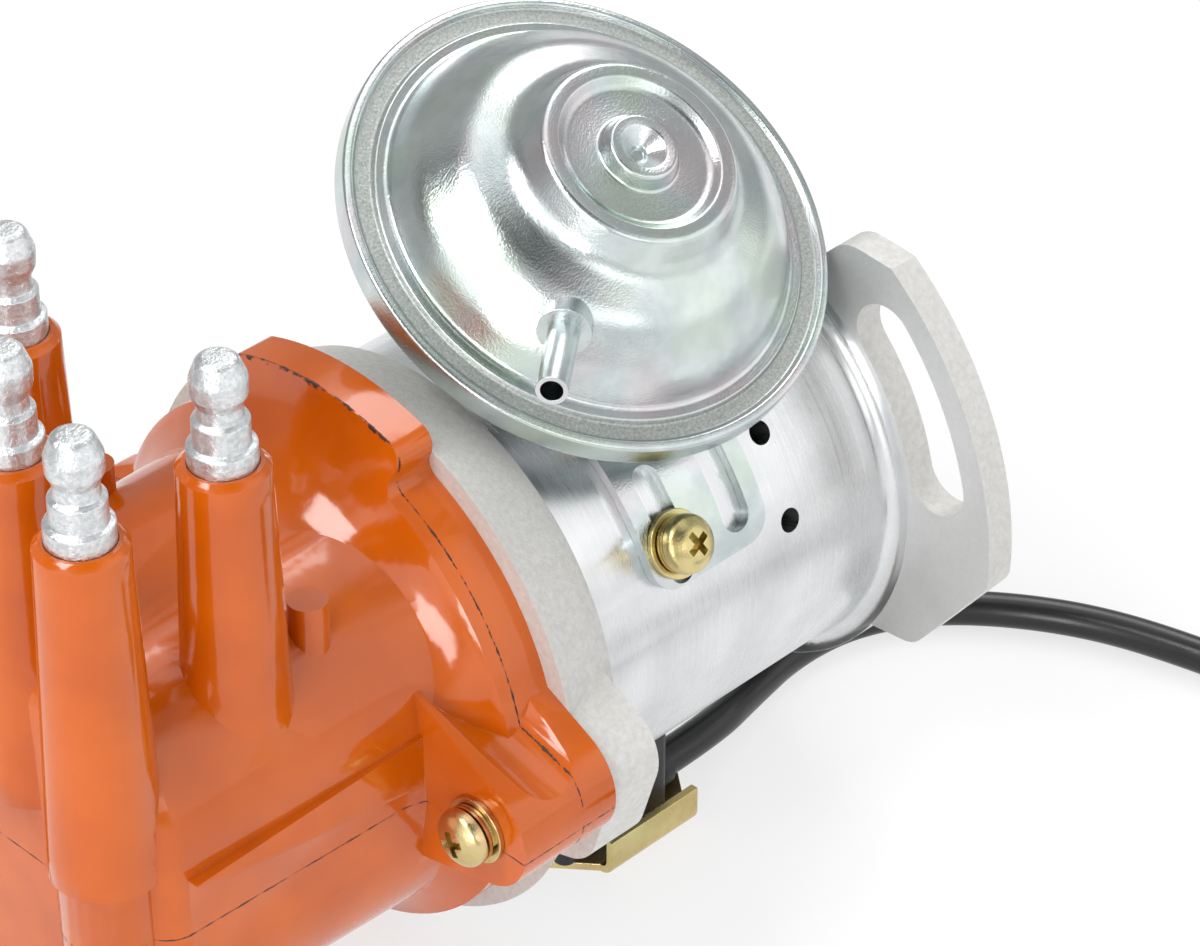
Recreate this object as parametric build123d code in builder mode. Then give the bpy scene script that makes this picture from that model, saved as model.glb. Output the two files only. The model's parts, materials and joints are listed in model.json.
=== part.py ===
"""Hall-effect ignition distributor for the end of a camshaft, with a side-exit cap and a vacuum advance can.

The origin is the centre of the flange's mounting face, on the shaft axis. +X runs along the shaft out of the
drive end, +Z is the way the cap's towers point. Millimetres. Angles round the shaft are counted from the -Y
side towards +Z, the way a reader sees them from the cap end.
"""

from build123d import *
import math
import os

# ---- Fits -------------------------------------------------------------------------------------------------
RUNNING_FIT = 0.04  # radial clearance of a turning or sliding fit
LOOSE_FIT = 0.2  # clearance of a clearance hole or of parts that pass each other
SEAT_GAP = 0.02  # gap under a curved face that touches

# ---- Housing ----------------------------------------------------------------------------------------------
BARREL_R = 32.0
BARREL_WALL = 4.0
SHOULDER_R = BARREL_R + 3.0
SHOULDER_X = -58.75
SHOULDER_CHAMFER = 0.8
BOWL_R = BARREL_R + 7.2
JOINT_X = -70.75
CAP_SEAT_R = BARREL_R + 0.2
CAP_SEAT_DEPTH = 3.0
PLATE_SEAT_X = -35.0  # the base plate rests on this ledge inside the barrel
PLATE_LEDGE = 1.6
FLOOR_X = -10.0
HUB_BOSS_X = -14.0
HUB_BOSS_R = 13.0
SPIGOT_R = 22.0
SPIGOT_LENGTH = 9.0
RING_GROOVE_X = 3.2
RING_GROOVE_WIDTH = 3.2
RING_SECTION = 3.0
RING_SQUEEZE = 0.2  # how far the ring stands proud of the spigot, drawn as seated in its bore

# ---- Flange -----------------------------------------------------------------------------------------------
FLANGE_T = 4.5
FLANGE_HUB_R = 35.0
FLANGE_NECK = 2.2
EAR_R = 49.05
EAR_FROM = -3.0
EAR_TO = 52.0
EAR_TIP = (BOWL_R + 6.0, 60.5)  # radius and angle of the ear's upper corner
EAR_NECK = (BARREL_R + 1.5, 66.0)
EAR_CORE = (20.0, 30.0)
EAR_FOOT = [(-29.7, -18.9), (-37.0, -18.2)]  # the lower corners, sunk in the bowl and at the ear's root
EAR_CORNER_FILLET = 4.0
EAR_TIP_FILLET = 5.0
SLOT_R = 40.55
SLOT_WIDTH = 9.5
SLOT_FROM = 13.7
SLOT_TO = 43.3

# ---- Screw ears of bowl and cap ---------------------------------------------------------------------------
SCREW_SPREAD = 38.4
BOWL_EAR_T = 8.5
BOWL_EAR_R = 7.0
CAP_EAR_R = 8.0
CAP_EAR_X = -86.25
M4_R = 2.0
M4_CLEAR_R = 2.3
HEAD_R = 3.9
HEAD_H = 2.3
DRIVE_SLOT = 0.9
WASHER_R = 4.5
WASHER_T = 0.8
SPRING_WASHER_R = 3.8
SPRING_WASHER_T = 1.0

# ---- Cap --------------------------------------------------------------------------------------------------
CAP_FLANGE_R = 36.3
CAP_FLANGE_T = 7.8
LOBE_R = 41.7
LOBE_HALF_ANGLE = 22.5
LOBE_NOTCH_R = 2.2
DRUM_HALF = 28.5
DRUM_CORNER_R = 20.0
DRUM_FRONT_X = -126.6
DRUM_TAPER = 1.6
DRUM_EDGE_R = 4.5
CAP_CAVITY_R = 24.0
CAP_MOUTH_R = 29.0
CAP_MOUTH_DEPTH = 9.0
CAP_FRONT_WALL = 7.6
FLARE_X = -92.6  # where the hollow sweep leaves the drum
FLARE_R = 16.5
FLARE_SINK = 0.6
EAR_WEB_Y = 26.5
EAR_WEB_Z = 12.7
EAR_DISH_X = -79.2
EAR_DISH_R = 6.4
EAR_DISH_DEPTH = 4.2
EAR_DISH_FALL = math.radians(17)
RIB_HALF = 28.9
RIB_OUTLINE = [(-122.5, 7.2), (-84.0, 8.7), (-84.0, 0.8), (-101.0, 3.0), (-117.5, 5.5), (-122.5, 7.0)]
TOWER_TOP_Z = 55.0
TOWER_TOP_R = 5.6
TOWER_FOOT_R = 7.1
TOWER_FOOT_Z = 7.5
TOWER_EDGE = 0.8
TOWER_LEAN = (TOWER_FOOT_R - TOWER_TOP_R) / (TOWER_TOP_Z - TOWER_FOOT_Z)
FRONT_TOWER_X = -127.4
REAR_TOWER_X = -106.4
COIL_TOWER_X = -122.2
TOWER_SIDE = 18.7
COLUMN_R = 6.2
COLUMN_BOTTOM_Z = -16.0
PEG_R = 2.5
PEG_X = -95.5
PEG_SIDE = 19.5
PEG_TOP_Z = 29.6

# ---- Terminals --------------------------------------------------------------------------------------------
TERMINAL_SINK = 8.0
TERMINAL_STEM_R = 2.6
TERMINAL_FOOT_R = 4.3
TERMINAL_FOOT_H = 2.4
TERMINAL_COLLAR_R = 3.55
TERMINAL_COLLAR_H = 4.4
TERMINAL_NECK_R = 2.75
TERMINAL_NECK_H = 1.4
TERMINAL_BALL_R = 3.4
TERMINAL_BALL_BAND = 1.3  # half the height of the ball's widest band
TERMINAL_TOP_R = 1.5
TERMINAL_H = 14.4

# ---- Rotor, brush and electrodes --------------------------------------------------------------------------
ELECTRODE_COUNT = 4
ELECTRODE_REACH_R = 21.6
ELECTRODE_X = -101.0
ELECTRODE_LENGTH = 10.0
ELECTRODE_WIDTH = 6.0
ELECTRODE_DEPTH = 2.0
ROTOR_TIP_R = 20.8
ROTOR_FACE_X = -95.0
ROTOR_HUB_R = 9.0
ROTOR_FOOT_X = -66.0
CONTACT_T = 1.4
CONTACT_WIDTH = 7.0
BRUSH_R = 2.5
BRUSH_LENGTH = 9.0
BRUSH_TRAVEL = 2.0
BRUSH_BOSS_R = 5.5
BRUSH_BOSS_X = -104.0

# ---- Shaft and centrifugal advance ------------------------------------------------------------------------
SHAFT_R = 5.0
SHAFT_TOP_R = 4.0
SHAFT_STEP_X = -23.4
SHAFT_TOP_X = -80.0
SHAFT_END_X = 15.0
BUSH_R = 8.0
BUSH_FLANGE_R = 10.5
BUSH_FLANGE_T = 1.5
THRUST_T = 1.0
CARRIER_T = 2.0
CARRIER_R = 21.0
CARRIER_HUB_R = 7.6
CARRIER_HUB_H = 4.0
PIVOT_CIRCLE_R = 13.0
PIVOT_R = 1.75
WEIGHT_T = 4.5
WEIGHT_INNER_R = 9.2
WEIGHT_OUTER_R = 19.5
WEIGHT_FROM = -14.0
WEIGHT_SWEEP = 130.0
PEG_ANGLE = 80.0
PEG_CIRCLE_R = 14.0
WEIGHT_PEG_R = 1.3
CAM_PLATE_T = 1.8
SLEEVE_R = 6.2
SPRING_POST_ANGLE = -75.0
SPRING_POST_R = 15.0
SPRING_R = 1.6
SPRING_WIRE = 0.5
SPRING_END_X = -29.2
SPRING_POST_PIN_R = 1.2
PEG_DRIFT = 3.4  # how far the pegs move outwards along their slots
PEG_TIP = 0.6
CAM_PLATE_MIDDLE_R = 9.0
CAM_PLATE_EAR_R = 4.0

# ---- Pickup -----------------------------------------------------------------------------------------------
BASE_PLATE_T = 1.6
PLATE_GAP = 0.2
PICKUP_T = 1.6
PICKUP_R = 20.5
RETAINER_R = 14.0
RETAINER_T = 0.9
COLLAR_R = 12.4
COLLAR_WALL = 2.6
BASE_SCREW_CIRCLE_R = 24.2
BASE_SCREW_ANGLES = (35.0, 215.0)
BASE_SCREW_HEAD_R = 2.6
BASE_BOSS_R = 4.0
BASE_BOSS_L = 6.0
BASE_SCREW_R = 1.5
VACUUM_RANGE = 10.0
ARM_R = 21.8
ARM_PIN_R = 1.5
VANE_DISC_X = -53.2
VANE_T = 1.2
VANE_R = 19.4
VANE_SKIRT = 1.0
VANE_END_X = -42.4
VANE_WINDOWS = 4
VANE_WINDOW_ANGLE = 48.0
SENSOR_ANGLE = 275.0
SENSOR_HALF = 18.0
SENSOR_LUG_HALF = 21.0
RIVET_CIRCLE_R = 16.0
RIVET_ANGLE = 11.0
RIVET_R = 0.8
SENSOR_INNER_R = 14.4
SENSOR_OUTER_R = 24.4
SENSOR_SLOT = 1.1
SENSOR_TOP_X = -50.6
COVER_X = -58.2
COVER_T = 1.6
COVER_GAP = 0.8

# ---- Vacuum can -------------------------------------------------------------------------------------------
CAN_LEAN = 32.5  # the can's axis leans this far from +Z towards -Y
CAN_X = -33.05
CAN_R = 33.0
SHEET = 0.9
RIM_H = BARREL_R + 10.3  # height of the clamped rim above the shaft axis, along the can's axis
RIM_HEM = 3.1
DIAPHRAGM_RIM_T = 0.4
PAN_RISE_R = 26.5
PAN_FLOOR_R = 20.0
PAN_NECK_R = 4.6
DIAPHRAGM_T = 0.8
DIAPHRAGM_H = RIM_H - 6.1
RIM_LIP = 2.6
DOME_FOOT_R = 27.6
DOME_CORE = [(24.4, 4.8), (19.2, 9.6), (0.0, 12.7)]  # (radius, height over the rim) of the space kept free inside
CAN_PLATE_R = 15.0
CAN_PLATE_T = 1.0
ROD_T = 1.6
ROD_WIDTH = 4.6
EYE_R = 3.6
NIPPLE_R = 2.0
NIPPLE_BORE_R = 1.4
NIPPLE_LENGTH = 15.0
NIPPLE_RISE = 20.0
NIPPLE_AZIMUTH = 213.5
NIPPLE_ROOT_R = 21.5
NIPPLE_ROOT_H = RIM_H + 7.3
NIPPLE_SINK = 3.0
NIPPLE_FLANGE_R = 3.4
NIPPLE_FLANGE_H = 2.4
VACUUM_SPRING_R = 6.0
VACUUM_TRAVEL = 4.0  # the plates' full stroke and a little over; the spring is drawn squeezed by it
DOME_CROWN = [  # radius, and height over the rim
    (0.0, 17.3),
    (1.2, 17.3),
    (2.2, 18.2),
    (4.6, 18.2),
    (5.2, 15.9),
    (9.8, 15.9),
    (10.6, 16.5),
    (13.2, 16.5),
    (14.3, 13.7),
    (16.5, 11.9),
    (19.5, 10.2),
    (25.0, 5.2),
]
DOME_UNDERSIDE = [(24.0, 4.5), (18.9, 9.1), (13.2, 12.3), (12.3, 14.9), (0.0, 14.9)]
RIDGE_H = 0.7  # narrow ridge at the dome's foot
RIDGE_WIDTH = 1.3
BEAD_H = 0.5  # rolled bead along the rim's edge
BEAD_WIDTH = 1.2

# ---- Bracket of the can -----------------------------------------------------------------------------------
BRACKET_T = 1.5
BRACKET_FROM_X = -48.25
BRACKET_TO_X = -27.75
BRACKET_LOW_ANGLE = 18.0
BRACKET_PAD_R = 15.0
BRACKET_CORNER_R = 4.0
SLOT_A_X = -43.4
SLOT_A_WIDTH = 4.2
SLOT_A_ANGLES = (22.0, 42.5)
SLOT_B_X = -32.75
SLOT_B_WIDTH = 4.6
SLOT_B_ANGLES = (26.0, 41.5)
BRACKET_SCREW_ANGLE = 27.5
SPARE_HOLE_X = -22.95
SPARE_HOLE_ANGLES = (16.2, 38.5)
SPARE_HOLE_R = 1.65

# ---- Signal lead ------------------------------------------------------------------------------------------
GROUND_Z = -41.0
CLIP_T = 1.2
BLOCK_FROM_X = -52.0
BLOCK_TO_X = -32.0
BLOCK_HALF = 18.5
BLOCK_KEY_X = 10.0
BLOCK_KEY_Y = 11.0
BLOCK_KEY_TOP_Z = -27.0
BLOCK_H = 12.5
BLOCK_SCREW_LENGTH = 14.5
SCREW_SUNK = 0.1
CLIP_BEND_R = 2.2
CLIP_LIP_Y = -23.4
CLIP_LIP_H = 6.0
CLIP_LIP_FROM_X = -48.0
CLIP_LIP_TO_X = -31.6
CLIP_WIDE_Y = -14.0
CLIP_FROM_X = -54.0
CLIP_TO_X = -26.0
CLIP_BACK_Y = 20.0
CLIP_SCREW_X = -42.0
CLIP_SCREW_SIDE = 13.0
COUNTERSINK_R = 3.9
CLIP_HOLE_R = 2.7
LEAD_D = 5.0
LEAD_COLLAR_R = 3.1
LEAD_COLLAR_H = 2.0
LEAD_ROUTE = [
    (-30.0, -14.6, -36.6),
    (-19.5, -14.6, -36.6),
    (-9.0, -11.4, -38.2),
    (2.5, -9.2, -38.5),
    (14.0, -10.6, -38.5),
    (24.0, -16.4, -38.5),
    (32.0, -25.6, -38.5),
    (38.2, -36.6, -38.5),
    (42.2, -50.4, -38.5),
    (44.6, -64.0, -38.5),
    (43.4, -77.6, -38.5),
    (37.0, -89.6, -38.5),
    (26.0, -98.4, -38.5),
    (12.4, -103.0, -38.5),
    (-1.6, -104.8, -38.5),
]
PLUG_LENGTH = 24.0
PLUG_WIDTH = 15.0
PLUG_HEIGHT = 9.0
PLUG_WALL = 1.6
PLUG_MOUTH = 11.0
PIN_WIDTH = 1.6
PIN_T = 0.8
PIN_PITCH = 4.0
PIN_SUNK = 4.0
PIN_LENGTH = 8.0

# ---- Drive ------------------------------------------------------------------------------------------------
DOG_R = 13.0
DOG_HUB_H = 6.0
DOG_TONGUE_H = 4.5
DOG_TONGUE_W = 7.0
DOG_OFFSET = 1.5
DOG_GAP = 0.5
DOG_PIN_R = 1.5
DOG_CLIP_T = 0.8
DOG_CLIP_WIDTH = 1.6
DOG_CLIP_OPENING = 6.0

# ---- Places worked out from the sizes above ---------------------------------------------------------------
INNER_R = BARREL_R - BARREL_WALL
CAP_FACE_X = JOINT_X - CAP_FLANGE_T
CARRIER_X = HUB_BOSS_X - BUSH_FLANGE_T - THRUST_T - 0.1
WEIGHT_X = CARRIER_X - CARRIER_T - 0.2
CAM_PLATE_X = WEIGHT_X - WEIGHT_T - 0.2
BASE_PLATE_X = PLATE_SEAT_X - BASE_PLATE_T
PICKUP_X = BASE_PLATE_X - PLATE_GAP - PICKUP_T
SLEEVE_END_X = ROTOR_FACE_X + 6.0
BLOCK_FLOOR_Z = GROUND_Z + CLIP_T
PAN_FLOOR_H = BARREL_R + BRACKET_T
PAN_RIM_H = RIM_H - RIM_HEM + SHEET
DOME_INSIDE_H = RIM_H + DOME_UNDERSIDE[-1][1]
CAVITY_END_X = DRUM_FRONT_X + CAP_FRONT_WALL
CAN_TILT = math.radians(CAN_LEAN)
CAN_AXIS = (0.0, -math.sin(CAN_TILT), math.cos(CAN_TILT))
CAN_SIDE = (0.0, math.cos(CAN_TILT), math.sin(CAN_TILT))


def across(x: float) -> Plane:
    """The plane square to the shaft at x: its local x is +Y, its local y is +Z, and it faces +X."""
    return Plane(origin=(x, 0, 0), x_dir=(0, 1, 0), z_dir=(1, 0, 0))


def clock(radius: float, angle: float) -> tuple[float, float]:
    """Y and Z of a point round the shaft, with the angle counted from the -Y side towards +Z."""
    turn = math.radians(angle)
    return (-radius * math.cos(turn), radius * math.sin(turn))


def radial(x: float, angle: float, radius: float = 0.0) -> Plane:
    """The plane that faces outwards from the shaft at a clock angle, its local x along +X."""
    y, z = clock(1.0, angle)
    return Plane(origin=(x, radius * y, radius * z), x_dir=(1, 0, 0), z_dir=(0, y, z))


def can_level(height: float) -> Plane:
    """The plane square to the can's axis, at a height over the shaft. Its local y is the rod's offset."""
    y = ARM_R * CAN_SIDE[1] + height * CAN_AXIS[1]
    z = ARM_R * CAN_SIDE[2] + height * CAN_AXIS[2]
    return Plane(origin=(CAN_X, y, z), x_dir=(1, 0, 0), z_dir=CAN_AXIS)


def turned(points: list[tuple[float, float]]) -> Part:
    """A solid turned about the shaft from an outline of (x, radius) points."""
    with BuildPart() as piece:
        with BuildSketch(Plane.XZ):
            with BuildLine():
                Polyline(*points, close=True)
            make_face()
        revolve(axis=Axis.X)
    return piece.part


def rod_between(radius: float, start_x: float, end_x: float, y: float = 0.0, z: float = 0.0) -> Part:
    """A round bar parallel to the shaft."""
    with BuildPart() as piece:
        with BuildSketch(across(start_x)):
            with Locations((y, z)):
                Circle(radius)
        extrude(amount=end_x - start_x)
    return piece.part


def ring(outer: float, inner: float, start_x: float, end_x: float) -> Part:
    """A round washer or tube about the shaft."""
    with BuildPart() as piece:
        with BuildSketch(across(start_x)):
            Circle(outer)
            Circle(inner, mode=Mode.SUBTRACT)
        extrude(amount=end_x - start_x)
    return piece.part


def facing_cap(x: float) -> Plane:
    """The plane square to the shaft at x that faces the cap's end: local x is -Y, local y is +Z."""
    return Plane(origin=(x, 0, 0), x_dir=(0, -1, 0), z_dir=(-1, 0, 0))


def spin_point(radius: float, angle: float) -> tuple[float, float]:
    """Y and Z of a point round the shaft, with the angle counted by the right-hand rule about +X."""
    turn = math.radians(angle)
    return (radius * math.cos(turn), radius * math.sin(turn))


def bar(plane: Plane, radius: float, length: float) -> Part:
    """A round bar that stands on a plane."""
    with BuildPart() as piece:
        with BuildSketch(plane):
            Circle(radius)
        extrude(amount=length)
    return piece.part


def pan_screw(seat: Plane, shank_r: float, length: float, head_r: float, head_h: float) -> Part:
    """A pan-head screw with a cross recess: its head stands on the seat plane and its shank goes through."""
    with BuildPart() as screw:
        with BuildSketch(seat):
            Circle(head_r)
        extrude(amount=head_h)
        top = screw.faces().sort_by(Axis(seat.origin, seat.z_dir))[-1]
        chamfer(top.edges(), 0.45 * head_h)
        with BuildSketch(seat.offset(head_h)):
            Rectangle(DRIVE_SLOT, 1.2 * head_r)
            Rectangle(1.2 * head_r, DRIVE_SLOT)
        extrude(amount=-0.5 * head_h, mode=Mode.SUBTRACT)
        with BuildSketch(seat):
            Circle(shank_r)
        extrude(amount=-length)
    return screw.part


def washer(seat: Plane, outer: float, inner: float, thickness: float) -> Part:
    """A flat washer that lies on a plane."""
    with BuildPart() as piece:
        with BuildSketch(seat):
            Circle(outer)
            Circle(inner, mode=Mode.SUBTRACT)
        extrude(amount=thickness)
    return piece.part


def split_washer(seat: Plane, outer: float, inner: float, thickness: float) -> Part:
    """A spring washer: a ring with a narrow cut."""
    with BuildPart() as piece:
        add(washer(seat, outer, inner, thickness))
        with BuildSketch(seat):
            with Locations((0.5 * (outer + inner), 0)):
                Rectangle(outer, 0.4)
        extrude(amount=thickness, mode=Mode.SUBTRACT)
    return piece.part


def sheet_outline(points: list[tuple[float, float]], radii: list[float], thickness: float) -> Face:
    """The section of a pressed sheet: its outer side bends at the points, its inner side is set to the right.

    Args:
        points: the outer side's corners, in order.
        radii: the bend radius at each inner corner of that side.
        thickness: how far to the right of the travel the other side lies.

    Returns:
        A face in the XY plane.
    """
    normals = []
    for (x0, y0), (x1, y1) in zip(points, points[1:]):
        length = math.hypot(x1 - x0, y1 - y0)
        normals.append(((y1 - y0) / length, -(x1 - x0) / length))
    back, back_radii = [], []
    for place, (x, y) in enumerate(points):
        before = normals[max(place - 1, 0)]
        after = normals[min(place, len(normals) - 1)]
        share = thickness / (1 + before[0] * after[0] + before[1] * after[1])
        back.append((x + share * (before[0] + after[0]), y + share * (before[1] + after[1])))
        if radii and 0 < place < len(points) - 1:
            left_turn = before[0] * after[1] - before[1] * after[0] > 0
            back_radii.append(radii[place - 1] + (thickness if left_turn else -thickness))
    with BuildSketch() as section:
        with BuildLine():
            if radii:
                FilletPolyline(*points, radius=radii)
                FilletPolyline(*back, radius=back_radii)
            else:
                Polyline(*points)
                Polyline(*back)
            Line(points[0], back[0])
            Line(points[-1], back[-1])
        make_face()
    return section.sketch


# ---- Housing ----------------------------------------------------------------------------------------------
with BuildSketch() as ear_outline:
    with BuildLine():
        corner = clock(EAR_R, EAR_FROM)
        top = clock(EAR_R, EAR_TO)
        ThreePointArc(corner, clock(EAR_R, 0.5 * (EAR_FROM + EAR_TO)), top)
        Polyline(top, clock(*EAR_TIP), clock(*EAR_NECK), clock(*EAR_CORE), *EAR_FOOT, corner)
    make_face()
    fillet(ear_outline.vertices().sort_by_distance(corner)[0], EAR_CORNER_FILLET)
    fillet(ear_outline.vertices().sort_by_distance(clock(*EAR_TIP))[0], EAR_TIP_FILLET)
    fillet(ear_outline.vertices().sort_by_distance(EAR_FOOT[-1])[0], EAR_CORNER_FILLET)

with BuildSketch() as slot_outline:
    with BuildLine():
        CenterArc((0, 0), SLOT_R, 180 - SLOT_TO, SLOT_TO - SLOT_FROM)
    trace(line_width=SLOT_WIDTH)
    with Locations(clock(SLOT_R, SLOT_FROM), clock(SLOT_R, SLOT_TO)):
        Circle(0.5 * SLOT_WIDTH)

with BuildPart() as housing:
    with BuildSketch(Plane.XZ):
        with BuildLine():
            Polyline(
                (0, 0),
                (JOINT_X, 0),
                (JOINT_X, BOWL_R),
                (SHOULDER_X - SHOULDER_CHAMFER, SHOULDER_R + 0.3),
                (SHOULDER_X, SHOULDER_R - SHOULDER_CHAMFER),
                (SHOULDER_X, BARREL_R),
                (-FLANGE_T - FLANGE_NECK, BARREL_R),
            )
            TangentArc(
                (-FLANGE_T - FLANGE_NECK, BARREL_R), (-FLANGE_T, BARREL_R + FLANGE_NECK), tangent=(1, 0)
            )
            Polyline((-FLANGE_T, BARREL_R + FLANGE_NECK), (0, BARREL_R + FLANGE_NECK), (0, 0))
        make_face()
    revolve(axis=Axis.X)
    # Flange: a round hub and two ears, half a turn apart
    with BuildSketch(across(-FLANGE_T)):
        Circle(FLANGE_HUB_R)
        for turn in (0, 180):
            add(ear_outline.sketch.rotate(Axis.Z, turn))
    extrude(amount=FLANGE_T)
    with BuildSketch(across(-FLANGE_T - FLANGE_NECK)):
        for turn in (0, 180):
            add(slot_outline.sketch.rotate(Axis.Z, turn))
    extrude(amount=FLANGE_T + 2 * FLANGE_NECK, mode=Mode.SUBTRACT)
    # Spigot with its ring groove
    with BuildSketch(across(0)):
        Circle(SPIGOT_R)
    extrude(amount=SPIGOT_LENGTH)
    chamfer(housing.faces().sort_by(Axis.X)[-1].edges(), 0.8)
    groove_r = SPIGOT_R + RING_SQUEEZE - RING_SECTION
    add(ring(SPIGOT_R + 1, groove_r, RING_GROOVE_X, RING_GROOVE_X + RING_GROOVE_WIDTH), mode=Mode.SUBTRACT)
    # Screw ears of the bowl
    for side in (-1, 1):
        with BuildSketch(across(JOINT_X)):
            with Locations((side * SCREW_SPREAD, 0)):
                Circle(BOWL_EAR_R)
            with Locations((side * 36.5, -8)):
                Circle(6.5)
            with Locations((side * 20, -2)):
                Circle(17)
            make_hull()
        extrude(amount=BOWL_EAR_T)
    # Inside: cap seat, wide chamber, narrow chamber, boss of the bush
    add(
        turned(
            [
                (JOINT_X, 0),
                (JOINT_X, CAP_SEAT_R),
                (JOINT_X + CAP_SEAT_DEPTH, CAP_SEAT_R),
                (JOINT_X + CAP_SEAT_DEPTH, INNER_R),
                (PLATE_SEAT_X, INNER_R),
                (PLATE_SEAT_X, INNER_R - PLATE_LEDGE),
                (FLOOR_X, INNER_R - PLATE_LEDGE),
                (FLOOR_X, HUB_BOSS_R),
                (HUB_BOSS_X, HUB_BOSS_R),
                (HUB_BOSS_X, BUSH_R),
                (SPIGOT_LENGTH, BUSH_R),
                (SPIGOT_LENGTH, 0),
            ]
        ),
        mode=Mode.SUBTRACT,
    )
    # Bosses that carry the base plate's screws
    for angle in BASE_SCREW_ANGLES:
        boss_y, boss_z = clock(BASE_SCREW_CIRCLE_R, angle)
        add(rod_between(BASE_BOSS_R, PLATE_SEAT_X, PLATE_SEAT_X + BASE_BOSS_L, boss_y, boss_z))
        add(
            rod_between(BASE_SCREW_R, PLATE_SEAT_X, PLATE_SEAT_X + BASE_BOSS_L - 1, boss_y, boss_z),
            mode=Mode.SUBTRACT,
        )
    # Tapped holes of the cap screws
    for side in (-1, 1):
        add(
            rod_between(M4_R, JOINT_X, JOINT_X + BOWL_EAR_T, side * SCREW_SPREAD, 0),
            mode=Mode.SUBTRACT,
        )
    # Tapped holes of the can's bracket, and the two spare ones beside it
    add(bar(radial(SLOT_A_X, BRACKET_SCREW_ANGLE, INNER_R - 1), M4_R, BARREL_WALL + 2), mode=Mode.SUBTRACT)
    for angle in SPARE_HOLE_ANGLES:
        add(
            bar(radial(SPARE_HOLE_X, angle, INNER_R - PLATE_LEDGE - 1), SPARE_HOLE_R, BARREL_WALL + 5),
            mode=Mode.SUBTRACT,
        )
    # Way in for the pull rod
    add(bar(can_level(5.0), 4.6, BARREL_R), mode=Mode.SUBTRACT)
    # Way in for the signal lead's block, with its two screw holes
    with BuildSketch(Plane.XY.offset(-BARREL_R)):
        with Locations((CLIP_SCREW_X, 0)):
            Rectangle(BLOCK_KEY_X + 2 * LOOSE_FIT, BLOCK_KEY_Y + 2 * LOOSE_FIT)
    extrude(amount=2 * BARREL_WALL, mode=Mode.SUBTRACT)
    with BuildSketch(Plane.XY.offset(-BARREL_R)):
        with Locations((CLIP_SCREW_X, -CLIP_SCREW_SIDE), (CLIP_SCREW_X, CLIP_SCREW_SIDE)):
            Circle(M4_R)
    extrude(amount=3 * BARREL_WALL, mode=Mode.SUBTRACT)

with BuildPart() as o_ring:
    with BuildSketch(Plane.XZ):
        with Locations((RING_GROOVE_X + 0.5 * RING_GROOVE_WIDTH, groove_r + 0.5 * RING_SECTION)):
            RegularPolygon(0.5 * RING_SECTION - SEAT_GAP, 8, major_radius=False, rotation=22.5)
    revolve(axis=Axis.X)

with BuildPart() as front_bush:
    add(ring(BUSH_R, SHAFT_R + RUNNING_FIT, HUB_BOSS_X, SPIGOT_LENGTH - 0.5))
    add(ring(BUSH_FLANGE_R, SHAFT_R + RUNNING_FIT, HUB_BOSS_X - BUSH_FLANGE_T, HUB_BOSS_X))

with BuildPart() as thrust_washer:
    thrust_x = HUB_BOSS_X - BUSH_FLANGE_T
    add(ring(BUSH_FLANGE_R - 0.5, SHAFT_R + LOOSE_FIT, thrust_x - THRUST_T, thrust_x))

# ---- Terminals, electrodes and brush, which the cap is moulded round --------------------------------------
TOWERS = (
    (FRONT_TOWER_X, -TOWER_SIDE),
    (FRONT_TOWER_X, TOWER_SIDE),
    (REAR_TOWER_X, -TOWER_SIDE),
    (REAR_TOWER_X, TOWER_SIDE),
    (COIL_TOWER_X, 0.0),
)

with BuildPart() as terminal:
    foot_z = TOWER_TOP_Z + TERMINAL_FOOT_H
    collar_z = foot_z + TERMINAL_COLLAR_H
    neck_z = collar_z + TERMINAL_NECK_H
    top_z = TOWER_TOP_Z + TERMINAL_H
    with BuildSketch(Plane.XZ):
        with BuildLine():
            Polyline(
                (0, TOWER_TOP_Z - TERMINAL_SINK),
                (TERMINAL_STEM_R, TOWER_TOP_Z - TERMINAL_SINK),
                (TERMINAL_STEM_R, TOWER_TOP_Z - 1),
                (TERMINAL_FOOT_R, TOWER_TOP_Z - 1),
                (TERMINAL_FOOT_R, foot_z),
                (TERMINAL_COLLAR_R, foot_z + 0.4),
                (TERMINAL_COLLAR_R, collar_z),
                (TERMINAL_NECK_R, neck_z),
            )
            ball_z = 0.5 * (neck_z + top_z)
            Polyline(
                (TERMINAL_NECK_R, neck_z),
                (TERMINAL_BALL_R, ball_z - TERMINAL_BALL_BAND),
                (TERMINAL_BALL_R, ball_z + TERMINAL_BALL_BAND),
                (0.5 * (TERMINAL_BALL_R + TERMINAL_TOP_R), top_z - 0.5 * TERMINAL_BALL_BAND),
                (TERMINAL_TOP_R, top_z),
                (0, top_z),
                (0, TOWER_TOP_Z - TERMINAL_SINK),
            )
        make_face()
    revolve(axis=Axis.Z)

with BuildPart() as tower_terminals:
    with Locations(*[(x, y, 0) for x, y in TOWERS]):
        add(terminal.part)

with BuildPart() as cap_electrodes:
    for number in range(ELECTRODE_COUNT):
        wall = radial(ELECTRODE_X, 45 + number * 360 / ELECTRODE_COUNT, ELECTRODE_REACH_R)
        with BuildSketch(wall):
            with Locations((0.5 * ELECTRODE_LENGTH, 0)):
                Rectangle(ELECTRODE_LENGTH, ELECTRODE_WIDTH)
        extrude(amount=CAP_CAVITY_R - ELECTRODE_REACH_R + ELECTRODE_DEPTH)

brush_tip_x = ROTOR_FACE_X - CONTACT_T - 0.1
brush_back_x = brush_tip_x - BRUSH_LENGTH
BRUSH_HOLE_X = CAVITY_END_X - 3.0

with BuildPart() as carbon_brush:
    add(rod_between(BRUSH_R, brush_back_x, brush_tip_x))
    chamfer(carbon_brush.faces().sort_by(Axis.X)[-1].edges(), 0.5)

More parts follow.
